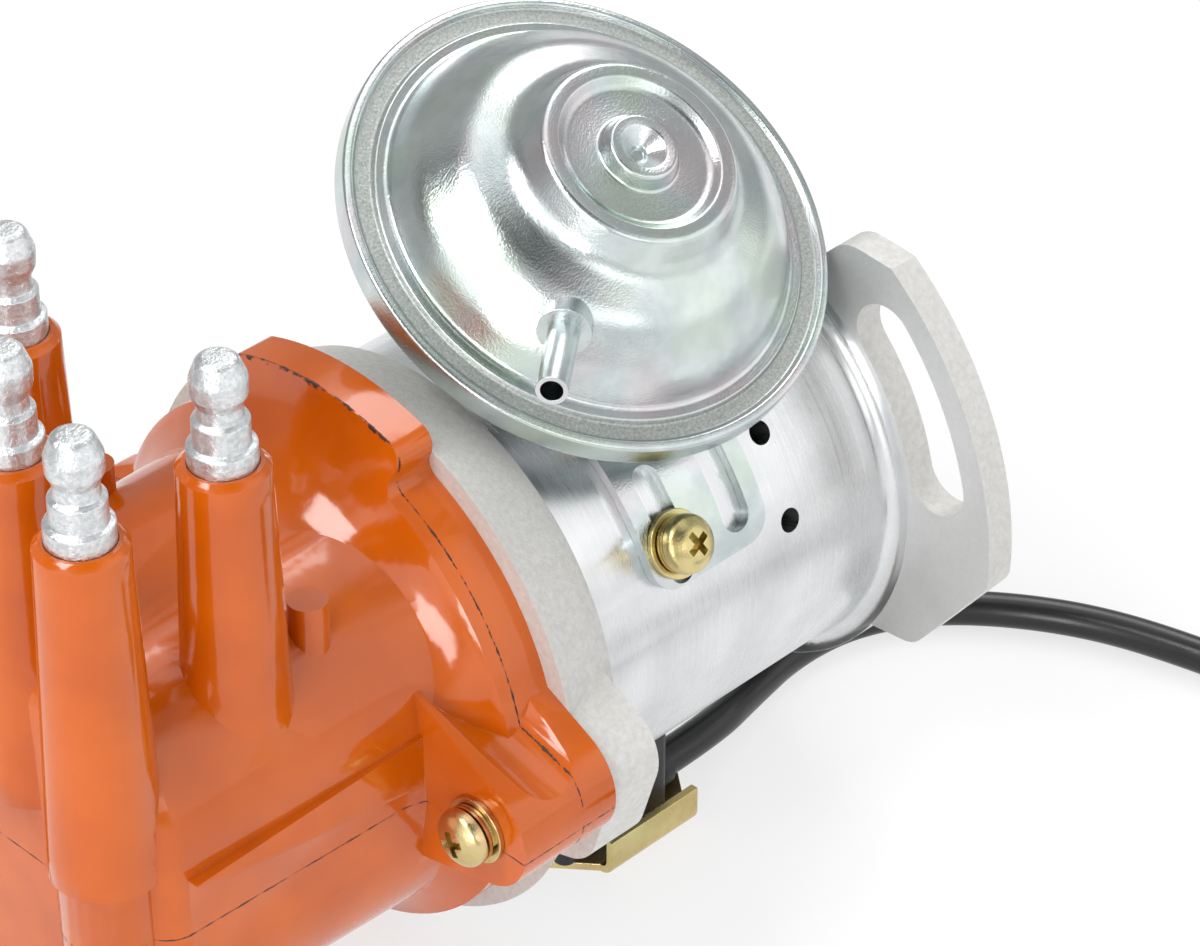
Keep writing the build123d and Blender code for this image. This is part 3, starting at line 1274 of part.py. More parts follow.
with BuildPart() as lead_block:
    with BuildSketch(Plane.XY.offset(BLOCK_FLOOR_Z)):
        with Locations((0.5 * (BLOCK_FROM_X + BLOCK_TO_X), 0)):
            RectangleRounded(BLOCK_TO_X - BLOCK_FROM_X, 2 * BLOCK_HALF, 1.5)
    extrude(amount=BLOCK_H)
    add(rod_between(BARREL_R + SEAT_GAP, BLOCK_FROM_X - 1, BLOCK_TO_X + 1), mode=Mode.SUBTRACT)
    with BuildSketch(Plane.XY.offset(BLOCK_FLOOR_Z)):
        with Locations((CLIP_SCREW_X, 0)):
            Rectangle(BLOCK_KEY_X, BLOCK_KEY_Y)
    extrude(amount=BLOCK_KEY_TOP_Z - BLOCK_FLOOR_Z)
    lead_face = Plane(origin=(BLOCK_TO_X, LEAD_ROUTE[0][1], LEAD_ROUTE[0][2]), x_dir=(0, 1, 0), z_dir=(1, 0, 0))
    with BuildSketch(lead_face):
        Circle(LEAD_COLLAR_R)
    extrude(amount=LEAD_COLLAR_H)
    with BuildSketch(Plane.XY.offset(BLOCK_FLOOR_Z)):
        with Locations(*clip_screw_spots):
            Circle(CLIP_HOLE_R)
    extrude(amount=BLOCK_H, mode=Mode.SUBTRACT)

with BuildPart() as block_bracket:
    with BuildSketch(across(CLIP_FROM_X)):
        add(
            sheet_outline(
                [(CLIP_BACK_Y, GROUND_Z), (CLIP_LIP_Y, GROUND_Z), (CLIP_LIP_Y, GROUND_Z + CLIP_LIP_H)],
                [CLIP_BEND_R],
                CLIP_T,
            )
        )
    extrude(amount=CLIP_TO_X - CLIP_FROM_X)
    with BuildSketch(Plane.XY.offset(GROUND_Z)) as clip_plan:
        with BuildLine():
            Polyline(
                (CLIP_LIP_FROM_X, CLIP_LIP_Y - 1),
                (CLIP_LIP_TO_X, CLIP_LIP_Y - 1),
                (CLIP_LIP_TO_X, CLIP_LIP_Y + CLIP_BEND_R),
                (CLIP_TO_X, CLIP_WIDE_Y),
                (CLIP_TO_X, CLIP_BACK_Y),
                (CLIP_FROM_X, CLIP_BACK_Y),
                (CLIP_FROM_X, CLIP_WIDE_Y),
                (CLIP_LIP_FROM_X, CLIP_LIP_Y + CLIP_BEND_R),
                close=True,
            )
        make_face()
    extrude(amount=CLIP_LIP_H + 1, mode=Mode.INTERSECT)
    with BuildSketch(Plane.XY.offset(GROUND_Z)):
        with Locations(*clip_screw_spots):
            Circle(COUNTERSINK_R)
    extrude(amount=COUNTERSINK_R - M4_CLEAR_R, taper=45, mode=Mode.SUBTRACT)
    with BuildSketch(Plane.XY.offset(GROUND_Z)):
        with Locations(*clip_screw_spots):
            Circle(CLIP_HOLE_R)
    extrude(amount=CLIP_T, mode=Mode.SUBTRACT)

with BuildPart() as block_screws:
    for spot_x, spot_y in clip_screw_spots:
        spot = Plane(origin=(spot_x, spot_y, GROUND_Z + SCREW_SUNK))
        with BuildSketch(spot):
            Circle(COUNTERSINK_R - 2 * SCREW_SUNK)
        extrude(amount=COUNTERSINK_R - 2 * SCREW_SUNK - M4_R, taper=45)
        with BuildSketch(spot):
            Circle(M4_R)
        extrude(amount=BLOCK_SCREW_LENGTH)
        with BuildSketch(spot):
            Rectangle(DRIVE_SLOT, M4_CLEAR_R * 1.6)
            Rectangle(M4_CLEAR_R * 1.6, DRIVE_SLOT)
        extrude(amount=1, mode=Mode.SUBTRACT)

# ---- Signal lead and its plug -----------------------------------------------------------------------------
lead_runs = [Vector(*end) - Vector(*start) for start, end in zip(LEAD_ROUTE, LEAD_ROUTE[1:])]
lead_bends = [
    0.45 * min(before.length, after.length) / math.tan(math.radians(0.5 * before.get_angle(after)))
    for before, after in zip(lead_runs, lead_runs[1:])
]

with BuildPart() as signal_lead:
    with BuildLine() as lead_line:
        FilletPolyline(*LEAD_ROUTE, radius=lead_bends)
    with BuildSketch(Plane(origin=LEAD_ROUTE[0], z_dir=lead_runs[0])):
        Circle(0.5 * LEAD_D)
    sweep(path=lead_line.wires()[0])

lead_length = lead_line.wires()[0].length
print("lead length", round(lead_length, 1), "tightest bend", round(min(lead_bends), 1))
print("lead bends", [round(bend, 1) for bend in lead_bends])
print("lead volume against section x length", signal_lead.part.volume / (math.pi * 0.25 * LEAD_D**2 * lead_length))

plug_axis = Vector(lead_runs[-1].X, lead_runs[-1].Y, 0).normalized()
plug_back = Plane(
    origin=(LEAD_ROUTE[-1][0], LEAD_ROUTE[-1][1], GROUND_Z + 0.5 * PLUG_HEIGHT), x_dir=(0, 0, 1), z_dir=plug_axis
)

with BuildPart() as lead_plug:
    with BuildSketch(plug_back):
        RectangleRounded(PLUG_HEIGHT, PLUG_WIDTH, 1.5)
    extrude(amount=PLUG_LENGTH)
    with BuildSketch(plug_back.offset(PLUG_LENGTH - PLUG_MOUTH)):
        RectangleRounded(PLUG_HEIGHT - 2 * PLUG_WALL, PLUG_WIDTH - 2 * PLUG_WALL, 0.8)
    extrude(amount=PLUG_MOUTH, mode=Mode.SUBTRACT)
    with BuildSketch(plug_back.offset(PLUG_LENGTH - PLUG_MOUTH)):
        with GridLocations(0, PIN_PITCH, 1, 3):
            Rectangle(PIN_T, PIN_WIDTH)
    extrude(amount=-PIN_SUNK, mode=Mode.SUBTRACT)

with BuildPart() as plug_pins:
    with BuildSketch(plug_back.offset(PLUG_LENGTH - PLUG_MOUTH - PIN_SUNK)):
        with GridLocations(0, PIN_PITCH, 1, 3):
            Rectangle(PIN_T, PIN_WIDTH)
    extrude(amount=PIN_SUNK + PIN_LENGTH)

# ---- Export -----------------------------------------------------------------------------------------------
PIECES = {
    "distributor_cap": distributor_cap,
    "tower_terminals": tower_terminals,
    "cap_electrodes": cap_electrodes,
    "carbon_brush": carbon_brush,
    "brush_spring": brush_spring,
    "cap_screws": cap_screws,
    "cap_screw_spring_washers": cap_screw_spring_washers,
    "cap_screw_washers": cap_screw_washers,
    "housing": housing,
    "o_ring": o_ring,
    "front_bush": front_bush,
    "thrust_washer": thrust_washer,
    "drive_shaft": drive_shaft,
    "weight_carrier": weight_carrier,
    "weight_pivots": weight_pivots,
    "weight_a": weight_a,
    "weight_b": weight_b,
    "advance_springs": advance_springs,
    "advance_cam_plate": advance_cam_plate,
    "advance_sleeve": advance_sleeve,
    "trigger_vane": trigger_vane,
    "rotor_arm": rotor_arm,
    "rotor_contact": rotor_contact,
    "drive_coupling": drive_coupling,
    "coupling_pin": coupling_pin,
    "coupling_clip": coupling_clip,
    "base_plate": base_plate,
    "base_plate_screws": base_plate_screws,
    "pickup_plate": pickup_plate,
    "pickup_retainer": pickup_retainer,
    "hall_sensor": hall_sensor,
    "sensor_rivets": sensor_rivets,
    "dust_cover": dust_cover,
    "vacuum_dome": vacuum_dome,
    "vacuum_pan": vacuum_pan,
    "vacuum_nipple": vacuum_nipple,
    "diaphragm": diaphragm,
    "diaphragm_plates": diaphragm_plates,
    "vacuum_spring": vacuum_spring,
    "pull_rod": pull_rod,
    "vacuum_bracket": vacuum_bracket,
    "bracket_screws": bracket_screws,
    "bracket_spring_washers": bracket_spring_washers,
    "bracket_washers": bracket_washers,
    "lead_block": lead_block,
    "block_bracket": block_bracket,
    "block_screws": block_screws,
    "signal_lead": signal_lead,
    "lead_plug": lead_plug,
    "plug_pins": plug_pins,
}

os.makedirs("parts", exist_ok=True)
for name, piece in PIECES.items():
    piece.part.label = name
    export_step(piece.part, f"parts/{name}.step")
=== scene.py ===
"""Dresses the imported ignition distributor: finishes, softened edges, lead, lights and camera.

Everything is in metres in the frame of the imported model: +X leaves the drive end, +Z is the way the towers
point, and the origin is the centre of the flange's mounting face.
"""

from __future__ import annotations

import json
import logging
import math
from dataclasses import dataclass, field
from enum import Enum
from typing import Any

import bmesh
import bpy
from mathutils import Matrix, Vector

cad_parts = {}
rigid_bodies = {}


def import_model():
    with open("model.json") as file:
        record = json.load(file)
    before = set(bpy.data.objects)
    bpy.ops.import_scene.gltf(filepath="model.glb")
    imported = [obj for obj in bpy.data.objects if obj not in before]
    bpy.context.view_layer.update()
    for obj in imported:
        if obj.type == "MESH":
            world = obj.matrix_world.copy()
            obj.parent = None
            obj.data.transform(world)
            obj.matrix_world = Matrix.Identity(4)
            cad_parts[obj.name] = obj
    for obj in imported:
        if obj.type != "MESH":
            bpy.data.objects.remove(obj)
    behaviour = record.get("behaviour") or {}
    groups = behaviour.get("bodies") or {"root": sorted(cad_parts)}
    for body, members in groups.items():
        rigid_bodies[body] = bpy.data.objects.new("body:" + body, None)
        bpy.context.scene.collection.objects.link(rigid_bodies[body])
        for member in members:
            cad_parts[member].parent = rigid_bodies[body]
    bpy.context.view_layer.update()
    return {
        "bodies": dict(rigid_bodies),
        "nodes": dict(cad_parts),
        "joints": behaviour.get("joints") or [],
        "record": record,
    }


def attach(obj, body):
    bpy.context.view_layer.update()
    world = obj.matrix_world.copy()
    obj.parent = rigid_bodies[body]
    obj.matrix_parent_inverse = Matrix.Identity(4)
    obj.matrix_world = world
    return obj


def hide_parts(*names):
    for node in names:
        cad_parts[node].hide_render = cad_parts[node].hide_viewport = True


LOG = logging.getLogger("distributor")

MM = 0.001
FLOOR_Z = -41.0 * MM  # the lead block's clip stands on it
FRAME_WIDTH_PX = 1200
CAN_ORIGIN_MM = (-33.05, 18.386, 11.713)
CAN_AXIS = (0.0, -0.5373, 0.8434)
WELD_MM = 0.002  # packed vertices closer than this are one
FLAT_DEG = 0.2  # packed faces that meet flatter than this are one

Socket = bpy.types.NodeSocket
Tree = bpy.types.NodeTree
Triple = tuple[float, float, float]
Corner = tuple[float, float, float]  # radius, height and corner radius of a profile's corner, in millimetres


class Body(Enum):
    """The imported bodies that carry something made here."""

    HOUSING = "housing"


class Finish(Enum):
    """The finishes that the pieces wear."""

    HOUSING = "housing"
    CAP = "cap"
    TERMINAL = "terminal"
    ZINC = "zinc"
    DOME_ZINC = "dome_zinc"
    YELLOW_ZINC = "yellow_zinc"
    STEEL = "steel"
    SPRING = "spring"
    BRONZE = "bronze"
    BRASS = "brass"
    RUBBER = "rubber"
    NYLON = "nylon"
    JACKET = "jacket"
    ROTOR = "rotor"
    CARBON = "carbon"


# ---- Node helpers ------------------------------------------------------------------------------------------
def linear(hex_colour: str) -> tuple[float, float, float, float]:
    """Turns an sRGB hex colour into linear RGBA.

    Args:
        hex_colour: six hex digits, with or without a leading #.

    Returns:
        Red, green, blue and an alpha of 1.
    """
    digits = hex_colour.lstrip("#")
    parts = [int(digits[place : place + 2], 16) / 255 for place in (0, 2, 4)]
    red, green, blue = (
        part / 12.92 if part <= 0.04045 else ((part + 0.055) / 1.055) ** 2.4 for part in parts
    )
    return (red, green, blue, 1.0)


def add_node(
    tree: Tree, kind: str, inputs: dict[str | int, Any] | None = None, **settings: Any
) -> bpy.types.Node:
    """Adds a node with its settings and links.

    Args:
        tree: the node tree that gets the node.
        kind: the node's bl_idname.
        inputs: socket name or number to a value, or to the output socket that feeds it.
        settings: properties of the node itself.

    Returns:
        The new node.
    """
    made = tree.nodes.new(kind)
    for name, value in settings.items():
        setattr(made, name, value)
    for key, value in (inputs or {}).items():
        if isinstance(value, Socket):
            tree.links.new(value, made.inputs[key])
        else:
            made.inputs[key].default_value = value
    return made


def fresh_material(name: str) -> tuple[bpy.types.Material, Tree, bpy.types.Node, Socket]:
    """Starts a material.

    Args:
        name: the finish's name.

    Returns:
        The material, its tree, its Principled shader and the Object coordinates.
    """
    material = bpy.data.materials.new(name)
    material.use_nodes = True
    tree = material.node_tree
    tree.nodes.clear()
    shader = add_node(tree, "ShaderNodeBsdfPrincipled")
    add_node(tree, "ShaderNodeOutputMaterial", {"Surface": shader.outputs[0]})
    place = add_node(tree, "ShaderNodeTexCoord").outputs["Object"]
    return material, tree, shader, place


def noise(tree: Tree, place: Socket, size_mm: float, detail: float = 3.0, roughness: float = 0.55) -> Socket:
    """Adds a noise pattern whose blotches are about size_mm across, and returns its factor."""
    made = add_node(
        tree,
        "ShaderNodeTexNoise",
        {"Vector": place, "Scale": 1.0 / (size_mm * MM), "Detail": detail, "Roughness": roughness},
    )
    return made.outputs["Fac"]


def spread(tree: Tree, value: Socket, low: float, high: float, to_low: float, to_high: float) -> Socket:
    """Maps a value from low..high to to_low..to_high, clamped."""
    made = add_node(
        tree,
        "ShaderNodeMapRange",
        {"Value": value, "From Min": low, "From Max": high, "To Min": to_low, "To Max": to_high},
    )
    return made.outputs["Result"]


def mixed(tree: Tree, share: Socket, first: Any, second: Any) -> Socket:
    """Mixes two colours by a share, and returns the colour."""
    made = add_node(tree, "ShaderNodeMix", {0: share, 6: first, 7: second}, data_type="RGBA")
    return made.outputs[2]


def two_tone(
    tree: Tree, pattern: Socket, first: str, second: str, low: float = 0.3, high: float = 0.7
) -> Socket:
    """Mixes two colours by a pattern.

    Args:
        tree: the node tree.
        pattern: the factor that decides.
        first: hex colour at and under the low value.
        second: hex colour at and over the high value.
        low: pattern value that gives the first colour alone.
        high: pattern value that gives the second colour alone.

    Returns:
        The colour.
    """
    return mixed(tree, spread(tree, pattern, low, high, 0, 1), linear(first), linear(second))


def wavering(tree: Tree, pattern: Socket, middle: float, down: float = 0.85, up: float = 1.2) -> Socket:
    """Lets a roughness waver with a pattern, between two shares of its middle value."""
    return spread(tree, pattern, 0.3, 0.7, middle * down, middle * up)


def bumped(tree: Tree, height: Socket, depth_mm: float, under: Socket | None = None) -> Socket:
    """Turns a height pattern into a bumped normal."""
    inputs: dict[str | int, Any] = {"Height": height, "Distance": depth_mm * MM, "Strength": 1.0}
    if under is not None:
        inputs["Normal"] = under
    return add_node(tree, "ShaderNodeBump", inputs).outputs["Normal"]


def maths(tree: Tree, operation: str, first: Any, second: Any = 0.0) -> Socket:
    """Adds a Math node and returns its value."""
    return add_node(tree, "ShaderNodeMath", {0: first, 1: second}, operation=operation).outputs[0]


def blended(tree: Tree, share: Socket, first: Any, second: Any) -> Socket:
    """Mixes two plain values by a share, and returns the value."""
    return add_node(tree, "ShaderNodeMix", {0: share, 2: first, 3: second}, data_type="FLOAT").outputs[0]


def vector_maths(
    tree: Tree, operation: str, first: Any, second: Any = (0.0, 0.0, 0.0), out: str = "Vector"
) -> Socket:
    """Adds a Vector Math node and returns the output asked for."""
    return add_node(tree, "ShaderNodeVectorMath", {0: first, 1: second}, operation=operation).outputs[out]


def length_of(tree: Tree, vector: Socket) -> Socket:
    """Returns a vector's length."""
    return vector_maths(tree, "LENGTH", vector, out="Value")


def axis_distance(tree: Tree, place: Socket, origin: Vector, axis: Vector) -> Socket:
    """Works out how far each point lies from a line.

    Args:
        tree: the node tree.
        place: the points, in metres.
        origin: a point of the line.
        axis: the line's unit direction.

    Returns:
        The distance in metres.
    """
    away = vector_maths(tree, "SUBTRACT", place, tuple(origin))
    return length_of(tree, vector_maths(tree, "CROSS_PRODUCT", away, tuple(axis)))


# ---- Turned forms ------------------------------------------------------------------------------------------
def rounded(
    corners: tuple[Corner, ...], steps: int = 6, side_share: float = 0.48
) -> list[tuple[float, float]]:
    """Rounds the corners of a profile.

    Args:
        corners: the profile's corners.
        steps: points on each rounded corner.
        side_share: the largest share of a side that one corner may take up.

    Returns:
        The profile's points.
    """
    points: list[tuple[float, float]] = []
    for place, (radius, height, fillet) in enumerate(corners):
        here = Vector((radius, height))
        if not fillet or place in (0, len(corners) - 1):
            points.append((radius, height))
            continue
        back = Vector(corners[place - 1][:2]) - here
        ahead = Vector(corners[place + 1][:2]) - here
        half_turn = 0.5 * (math.pi - back.angle(ahead))
        reach = min(fillet * math.tan(half_turn), side_share * back.length, side_share * ahead.length)
        start, end = here + back.normalized() * reach, here + ahead.normalized() * reach
        for step in range(steps + 1):
            share = step / steps
            bend = start * (1 - share) ** 2 + here * (2 * share * (1 - share)) + end * share**2
            points.append((bend.x, bend.y))
    return points


def seat(origin_mm: Triple, axis: Triple) -> Matrix:
    """Returns the placement whose Z runs along an axis from a point, in metres."""
    turn = Vector(axis).normalized().to_track_quat("Z", "Y").to_matrix().to_4x4()
    return Matrix.Translation(Vector(origin_mm) * MM) @ turn


def spin(corners: tuple[Corner, ...], place: Matrix, steps: int = 96) -> bmesh.types.BMesh:
    """Spins a rounded profile about its own Z.

    Args:
        corners: the profile's corners.
        place: where the form stands.
        steps: faces round the form.

    Returns:
        The form.
    """
    form = bmesh.new()
    verts = [form.verts.new((radius * MM, 0, height * MM)) for radius, height in rounded(corners)]
    edges = [form.edges.new(pair) for pair in zip(verts, verts[1:])]
    bmesh.ops.spin(
        form, geom=verts + edges, cent=(0, 0, 0), axis=(0, 0, 1), angle=math.tau, steps=steps, use_merge=True
    )
    bmesh.ops.remove_doubles(form, verts=form.verts, dist=1e-7)
    bmesh.ops.recalc_face_normals(form, faces=form.faces)
    bmesh.ops.transform(form, matrix=place, verts=form.verts)
    return form


def joined(forms: list[bmesh.types.BMesh], name: str) -> bpy.types.Mesh:
    """Joins forms into one mesh and frees them."""
    whole = bmesh.new()
    for form in forms:
        part = bpy.data.meshes.new(f"{name}_part")
        form.to_mesh(part)
        form.free()
        whole.from_mesh(part)
        bpy.data.meshes.remove(part)
    mesh = bpy.data.meshes.new(name)
    whole.to_mesh(mesh)
    whole.free()
    return mesh


def cut(form: bmesh.types.BMesh, tool: bmesh.types.BMesh) -> bmesh.types.BMesh:
    """Cuts one closed form out of another.

    Args:
        form: the form that loses material; freed.
        tool: the form that is cut away; freed.

    Returns:
        What is left.
    """
    blanks = []
    for source in (form, tool):
        mesh = bpy.data.meshes.new("blank")
        source.to_mesh(mesh)
        source.free()
        blank = bpy.data.objects.new("blank", mesh)
        bpy.context.scene.collection.objects.link(blank)
        blanks.append(blank)
    boolean = blanks[0].modifiers.new("cut", "BOOLEAN")
    boolean.operation = "DIFFERENCE"
    boolean.solver = "EXACT"
    boolean.object = blanks[1]
    bpy.context.view_layer.update()
    result = bmesh.new()
    result.from_object(blanks[0], bpy.context.evaluated_depsgraph_get())
    for blank in blanks:
        mesh = blank.data
        bpy.data.objects.remove(blank)
        bpy.data.meshes.remove(mesh)
    return result


# ---- Finishes ----------------------------------------------------------------------------------------------
@dataclass(frozen=True)
class Groove:
    """A ring about the vacuum can's axis where the press has left the plate rough and grey."""

    inner_mm: float = 28.9
    outer_mm: float = 31.4
    soft_mm: float = 0.25
    dark: str = "#9ba09d"
    light: str = "#c6cac7"
    speckle_mm: float = 0.35
    speckle_depth_mm: float = 0.06
    roughness: float = 0.5

    def share(self, tree: Tree, place: Socket) -> Socket:
        """Returns 1 on the ring and 0 beside it."""
        reach = axis_distance(tree, place, Vector(CAN_ORIGIN_MM) * MM, Vector(CAN_AXIS).normalized())
        inside, outside, soft = self.inner_mm * MM, self.outer_mm * MM, self.soft_mm * MM
        rising = spread(tree, reach, inside - soft, inside + soft, 0.0, 1.0)
        falling = spread(tree, reach, outside - soft, outside + soft, 1.0, 0.0)
        return maths(tree, "MULTIPLY", rising, falling)


@dataclass(frozen=True)
class PlainMetal:
    """Metal part, machined or pressed: an even colour with faint clouds in its polish."""

    name: str
    colour: str
    shade: str
    roughness: float
    cloud_mm: float = 6.0
    grain_mm: float = 0.25
    grain_depth_mm: float = 0.004

    def make(self) -> bpy.types.Material:
        """Builds the material."""
        material, tree, shader, place = fresh_material(self.name)
        cloud = noise(tree, place, self.cloud_mm)
        tree.links.new(two_tone(tree, cloud, self.colour, self.shade), shader.inputs["Base Color"])
        tree.links.new(wavering(tree, cloud, self.roughness), shader.inputs["Roughness"])
        shader.inputs["Metallic"].default_value = 1.0
        grain = noise(tree, place, self.grain_mm)
        tree.links.new(bumped(tree, grain, self.grain_depth_mm), shader.inputs["Normal"])
        return material


@dataclass(frozen=True)
class HousingMetal:
    """Die-cast aluminium: blasted grey where it stays as cast, turned bright on the barrel and the flange."""

    cast: str = "#d3d2cf"
    cast_shade: str = "#c6c5c1"
    cast_metallic: float = 0.3
    turned: str = "#e6e7e8"
    turned_shade: str = "#d2d4d6"
    barrel_from_mm: float = -58.9
    barrel_radius_mm: float = 34.9
    blotch_mm: float = 0.9
    cloud_mm: float = 11.0
    grit_mm: float = 0.35
    grit_depth_mm: float = 0.09
    lathe_pitch_mm: float = 0.55  # the tool's feed, drawn coarser than the real 0.1 mm so that it shows
    lathe_share: float = 0.022  # the lathe lines' depth as a share of the grit's
    flat_from: float = 0.95  # a normal that runs along the shaft at least this much is a flange face's
    flange_polish: float = 0.55

    def turned_share(self, tree: Tree, place: Socket, along: Socket) -> Socket:
        """Marks the barrel as turned, and the flange's flat faces as partly so.

        Args:
            tree: the node tree.
            place: the points, in metres.
            along: their X.

        Returns:
            1 where the metal is turned bright, 0 where it stays as cast.
        """
        across = length_of(tree, vector_maths(tree, "MULTIPLY", place, (0.0, 1.0, 1.0)))
        past_bowl = maths(tree, "GREATER_THAN", along, self.barrel_from_mm * MM)
        near_axis = maths(tree, "LESS_THAN", across, self.barrel_radius_mm * MM)
        on_barrel = maths(tree, "MULTIPLY", past_bowl, near_axis)
        facing = add_node(tree, "ShaderNodeNewGeometry").outputs["True Normal"]
        normal_x = add_node(tree, "ShaderNodeSeparateXYZ", {0: facing}).outputs["X"]
        flat_face = maths(tree, "GREATER_THAN", maths(tree, "ABSOLUTE", normal_x), self.flat_from)
        on_flange = maths(tree, "MULTIPLY", flat_face, past_bowl)
        return maths(tree, "MAXIMUM", on_barrel, maths(tree, "MULTIPLY", on_flange, self.flange_polish))

    def lathe_lines(self, tree: Tree, along: Socket) -> Socket:
        """Returns the fine rings that the tool leaves, as a factor that changes along the shaft only."""
        steps = maths(tree, "MULTIPLY", along, 1 / (self.lathe_pitch_mm * MM))
        rings = {"W": steps, "Scale": 1.0, "Detail": 4.0}
        return add_node(tree, "ShaderNodeTexNoise", rings, noise_dimensions="1D").outputs["Fac"]

    def make(self) -> bpy.types.Material:
        """Builds the material."""
        material, tree, shader, place = fresh_material("die_cast_aluminium")
        along = add_node(tree, "ShaderNodeSeparateXYZ", {0: place}).outputs["X"]
        bright = self.turned_share(tree, place, along)
        blotch = noise(tree, place, self.blotch_mm, 5.0, 0.7)
        cloud = noise(tree, place, self.cloud_mm)
        cast = two_tone(tree, blotch, self.cast, self.cast_shade, 0.35, 0.65)
        turned = two_tone(tree, cloud, self.turned, self.turned_shade)
        tree.links.new(mixed(tree, bright, cast, turned), shader.inputs["Base Color"])
        lines = self.lathe_lines(tree, along)
        polish = spread(tree, lines, 0.3, 0.7, 0.24, 0.34)
        blasted = spread(tree, blotch, 0.3, 0.7, 0.5, 0.68)
        tree.links.new(blended(tree, bright, blasted, polish), shader.inputs["Roughness"])
        tree.links.new(blended(tree, bright, self.cast_metallic, 1.0), shader.inputs["Metallic"])
        grit = noise(tree, place, self.grit_mm, 4.0, 0.7)
        relief = blended(tree, bright, grit, maths(tree, "MULTIPLY", lines, self.lathe_share))
        tree.links.new(bumped(tree, relief, self.grit_depth_mm), shader.inputs["Normal"])
        return material


@dataclass(frozen=True)
class CapMoulding:
    """Moulded thermoset: deep orange-brown and very glossy, with a dark ragged line along the mould's edges:
    flash, with the shade of its crease painted into it.
    """

    colour: str = "#c15906"
    shade: str = "#b44f05"
    roughness: float = 0.1
    ior: float = 1.5
    specular: float = 0.6
    cloud_mm: float = 14.0
    speck_mm: float = 0.5
    speck_depth_mm: float = 0.003
    wave_mm: float = 4.5
    wave_depth_mm: float = 0.05
    # the dark line's colour: the flash, darkened with the painted shade of its crease
    flash_and_crease_shade: str = "#35180a"
    flash_roughness: float = 0.6
    flash_depth_mm: float = 0.06
    parting_z_mm: float = -1.3
    parting_half_mm: float = 0.16
    joint_x_mm: float = -76.2
    joint_half_mm: float = 0.22
    ragged_mm: float = 1.7

    def line(self, tree: Tree, along: Socket, level_mm: float, half_mm: float, ragged: Socket) -> Socket:
        """Marks a thin ragged line of flash and painted crease shade where a coordinate passes a level.

        Args:
            tree: the node tree.
            along: the coordinate in metres.
            level_mm: where the line runs.
            half_mm: half of its width.
            ragged: noise that breaks it up.

        Returns:
            The share of the dark line, flash with painted crease shade, 0 to 1.
        """
        away = maths(tree, "ABSOLUTE", maths(tree, "SUBTRACT", along, level_mm * MM))
        reach = spread(tree, ragged, 0.42, 0.62, 0.0, half_mm * MM)
        return maths(tree, "LESS_THAN", away, reach)

    def make(self) -> bpy.types.Material:
        """Builds the material."""
        material, tree, shader, place = fresh_material("orange_thermoset")
        cloud = noise(tree, place, self.cloud_mm, 2.0)
        speck = noise(tree, place, self.speck_mm, 2.0)
        body = two_tone(tree, cloud, self.colour, self.shade, 0.35, 0.65)
        split = add_node(tree, "ShaderNodeSeparateXYZ", {0: place})
        ragged = noise(tree, place, self.ragged_mm, 5.0, 0.7)
        parting = self.line(tree, split.outputs["Z"], self.parting_z_mm, self.parting_half_mm, ragged)
        joint = self.line(tree, split.outputs["X"], self.joint_x_mm, self.joint_half_mm, ragged)
        # painted shade: the dark line along the parting line and the joint stands for the flash plus the
        # shade in its crease
        dark = maths(tree, "MAXIMUM", parting, joint)
        tree.links.new(mixed(tree, dark, body, linear(self.flash_and_crease_shade)), shader.inputs["Base Color"])
        gloss = wavering(tree, speck, self.roughness, 0.85, 1.25)
        rough = maths(tree, "MAXIMUM", gloss, maths(tree, "MULTIPLY", dark, self.flash_roughness))
        tree.links.new(rough, shader.inputs["Roughness"])
        shader.inputs["IOR"].default_value = self.ior
        shader.inputs["Specular IOR Level"].default_value = self.specular
        wavy = bumped(tree, noise(tree, place, self.wave_mm, 2.0), self.wave_depth_mm)
        edge = bumped(tree, dark, self.flash_depth_mm, wavy)
        tree.links.new(bumped(tree, speck, self.speck_depth_mm, edge), shader.inputs["Normal"])
        return material


@dataclass(frozen=True)
class CastTerminal:
    """Die-cast terminal metal: silvery, with a skin pitted like orange peel."""

    colour: str = "#e6e8e9"
    shade: str = "#c6c9cb"
    pit_mm: float = 0.7
    pit_depth_mm: float = 0.16

    def make(self) -> bpy.types.Material:
        """Builds the material."""
        material, tree, shader, place = fresh_material("cast_terminal")
        pits = noise(tree, place, self.pit_mm, 4.0, 0.65)
        colour = two_tone(tree, pits, self.shade, self.colour, 0.35, 0.65)
        tree.links.new(colour, shader.inputs["Base Color"])
        tree.links.new(spread(tree, pits, 0.3, 0.7, 0.42, 0.24), shader.inputs["Roughness"])
        shader.inputs["Metallic"].default_value = 1.0
        tree.links.new(bumped(tree, pits, self.pit_depth_mm), shader.inputs["Normal"])
        return material


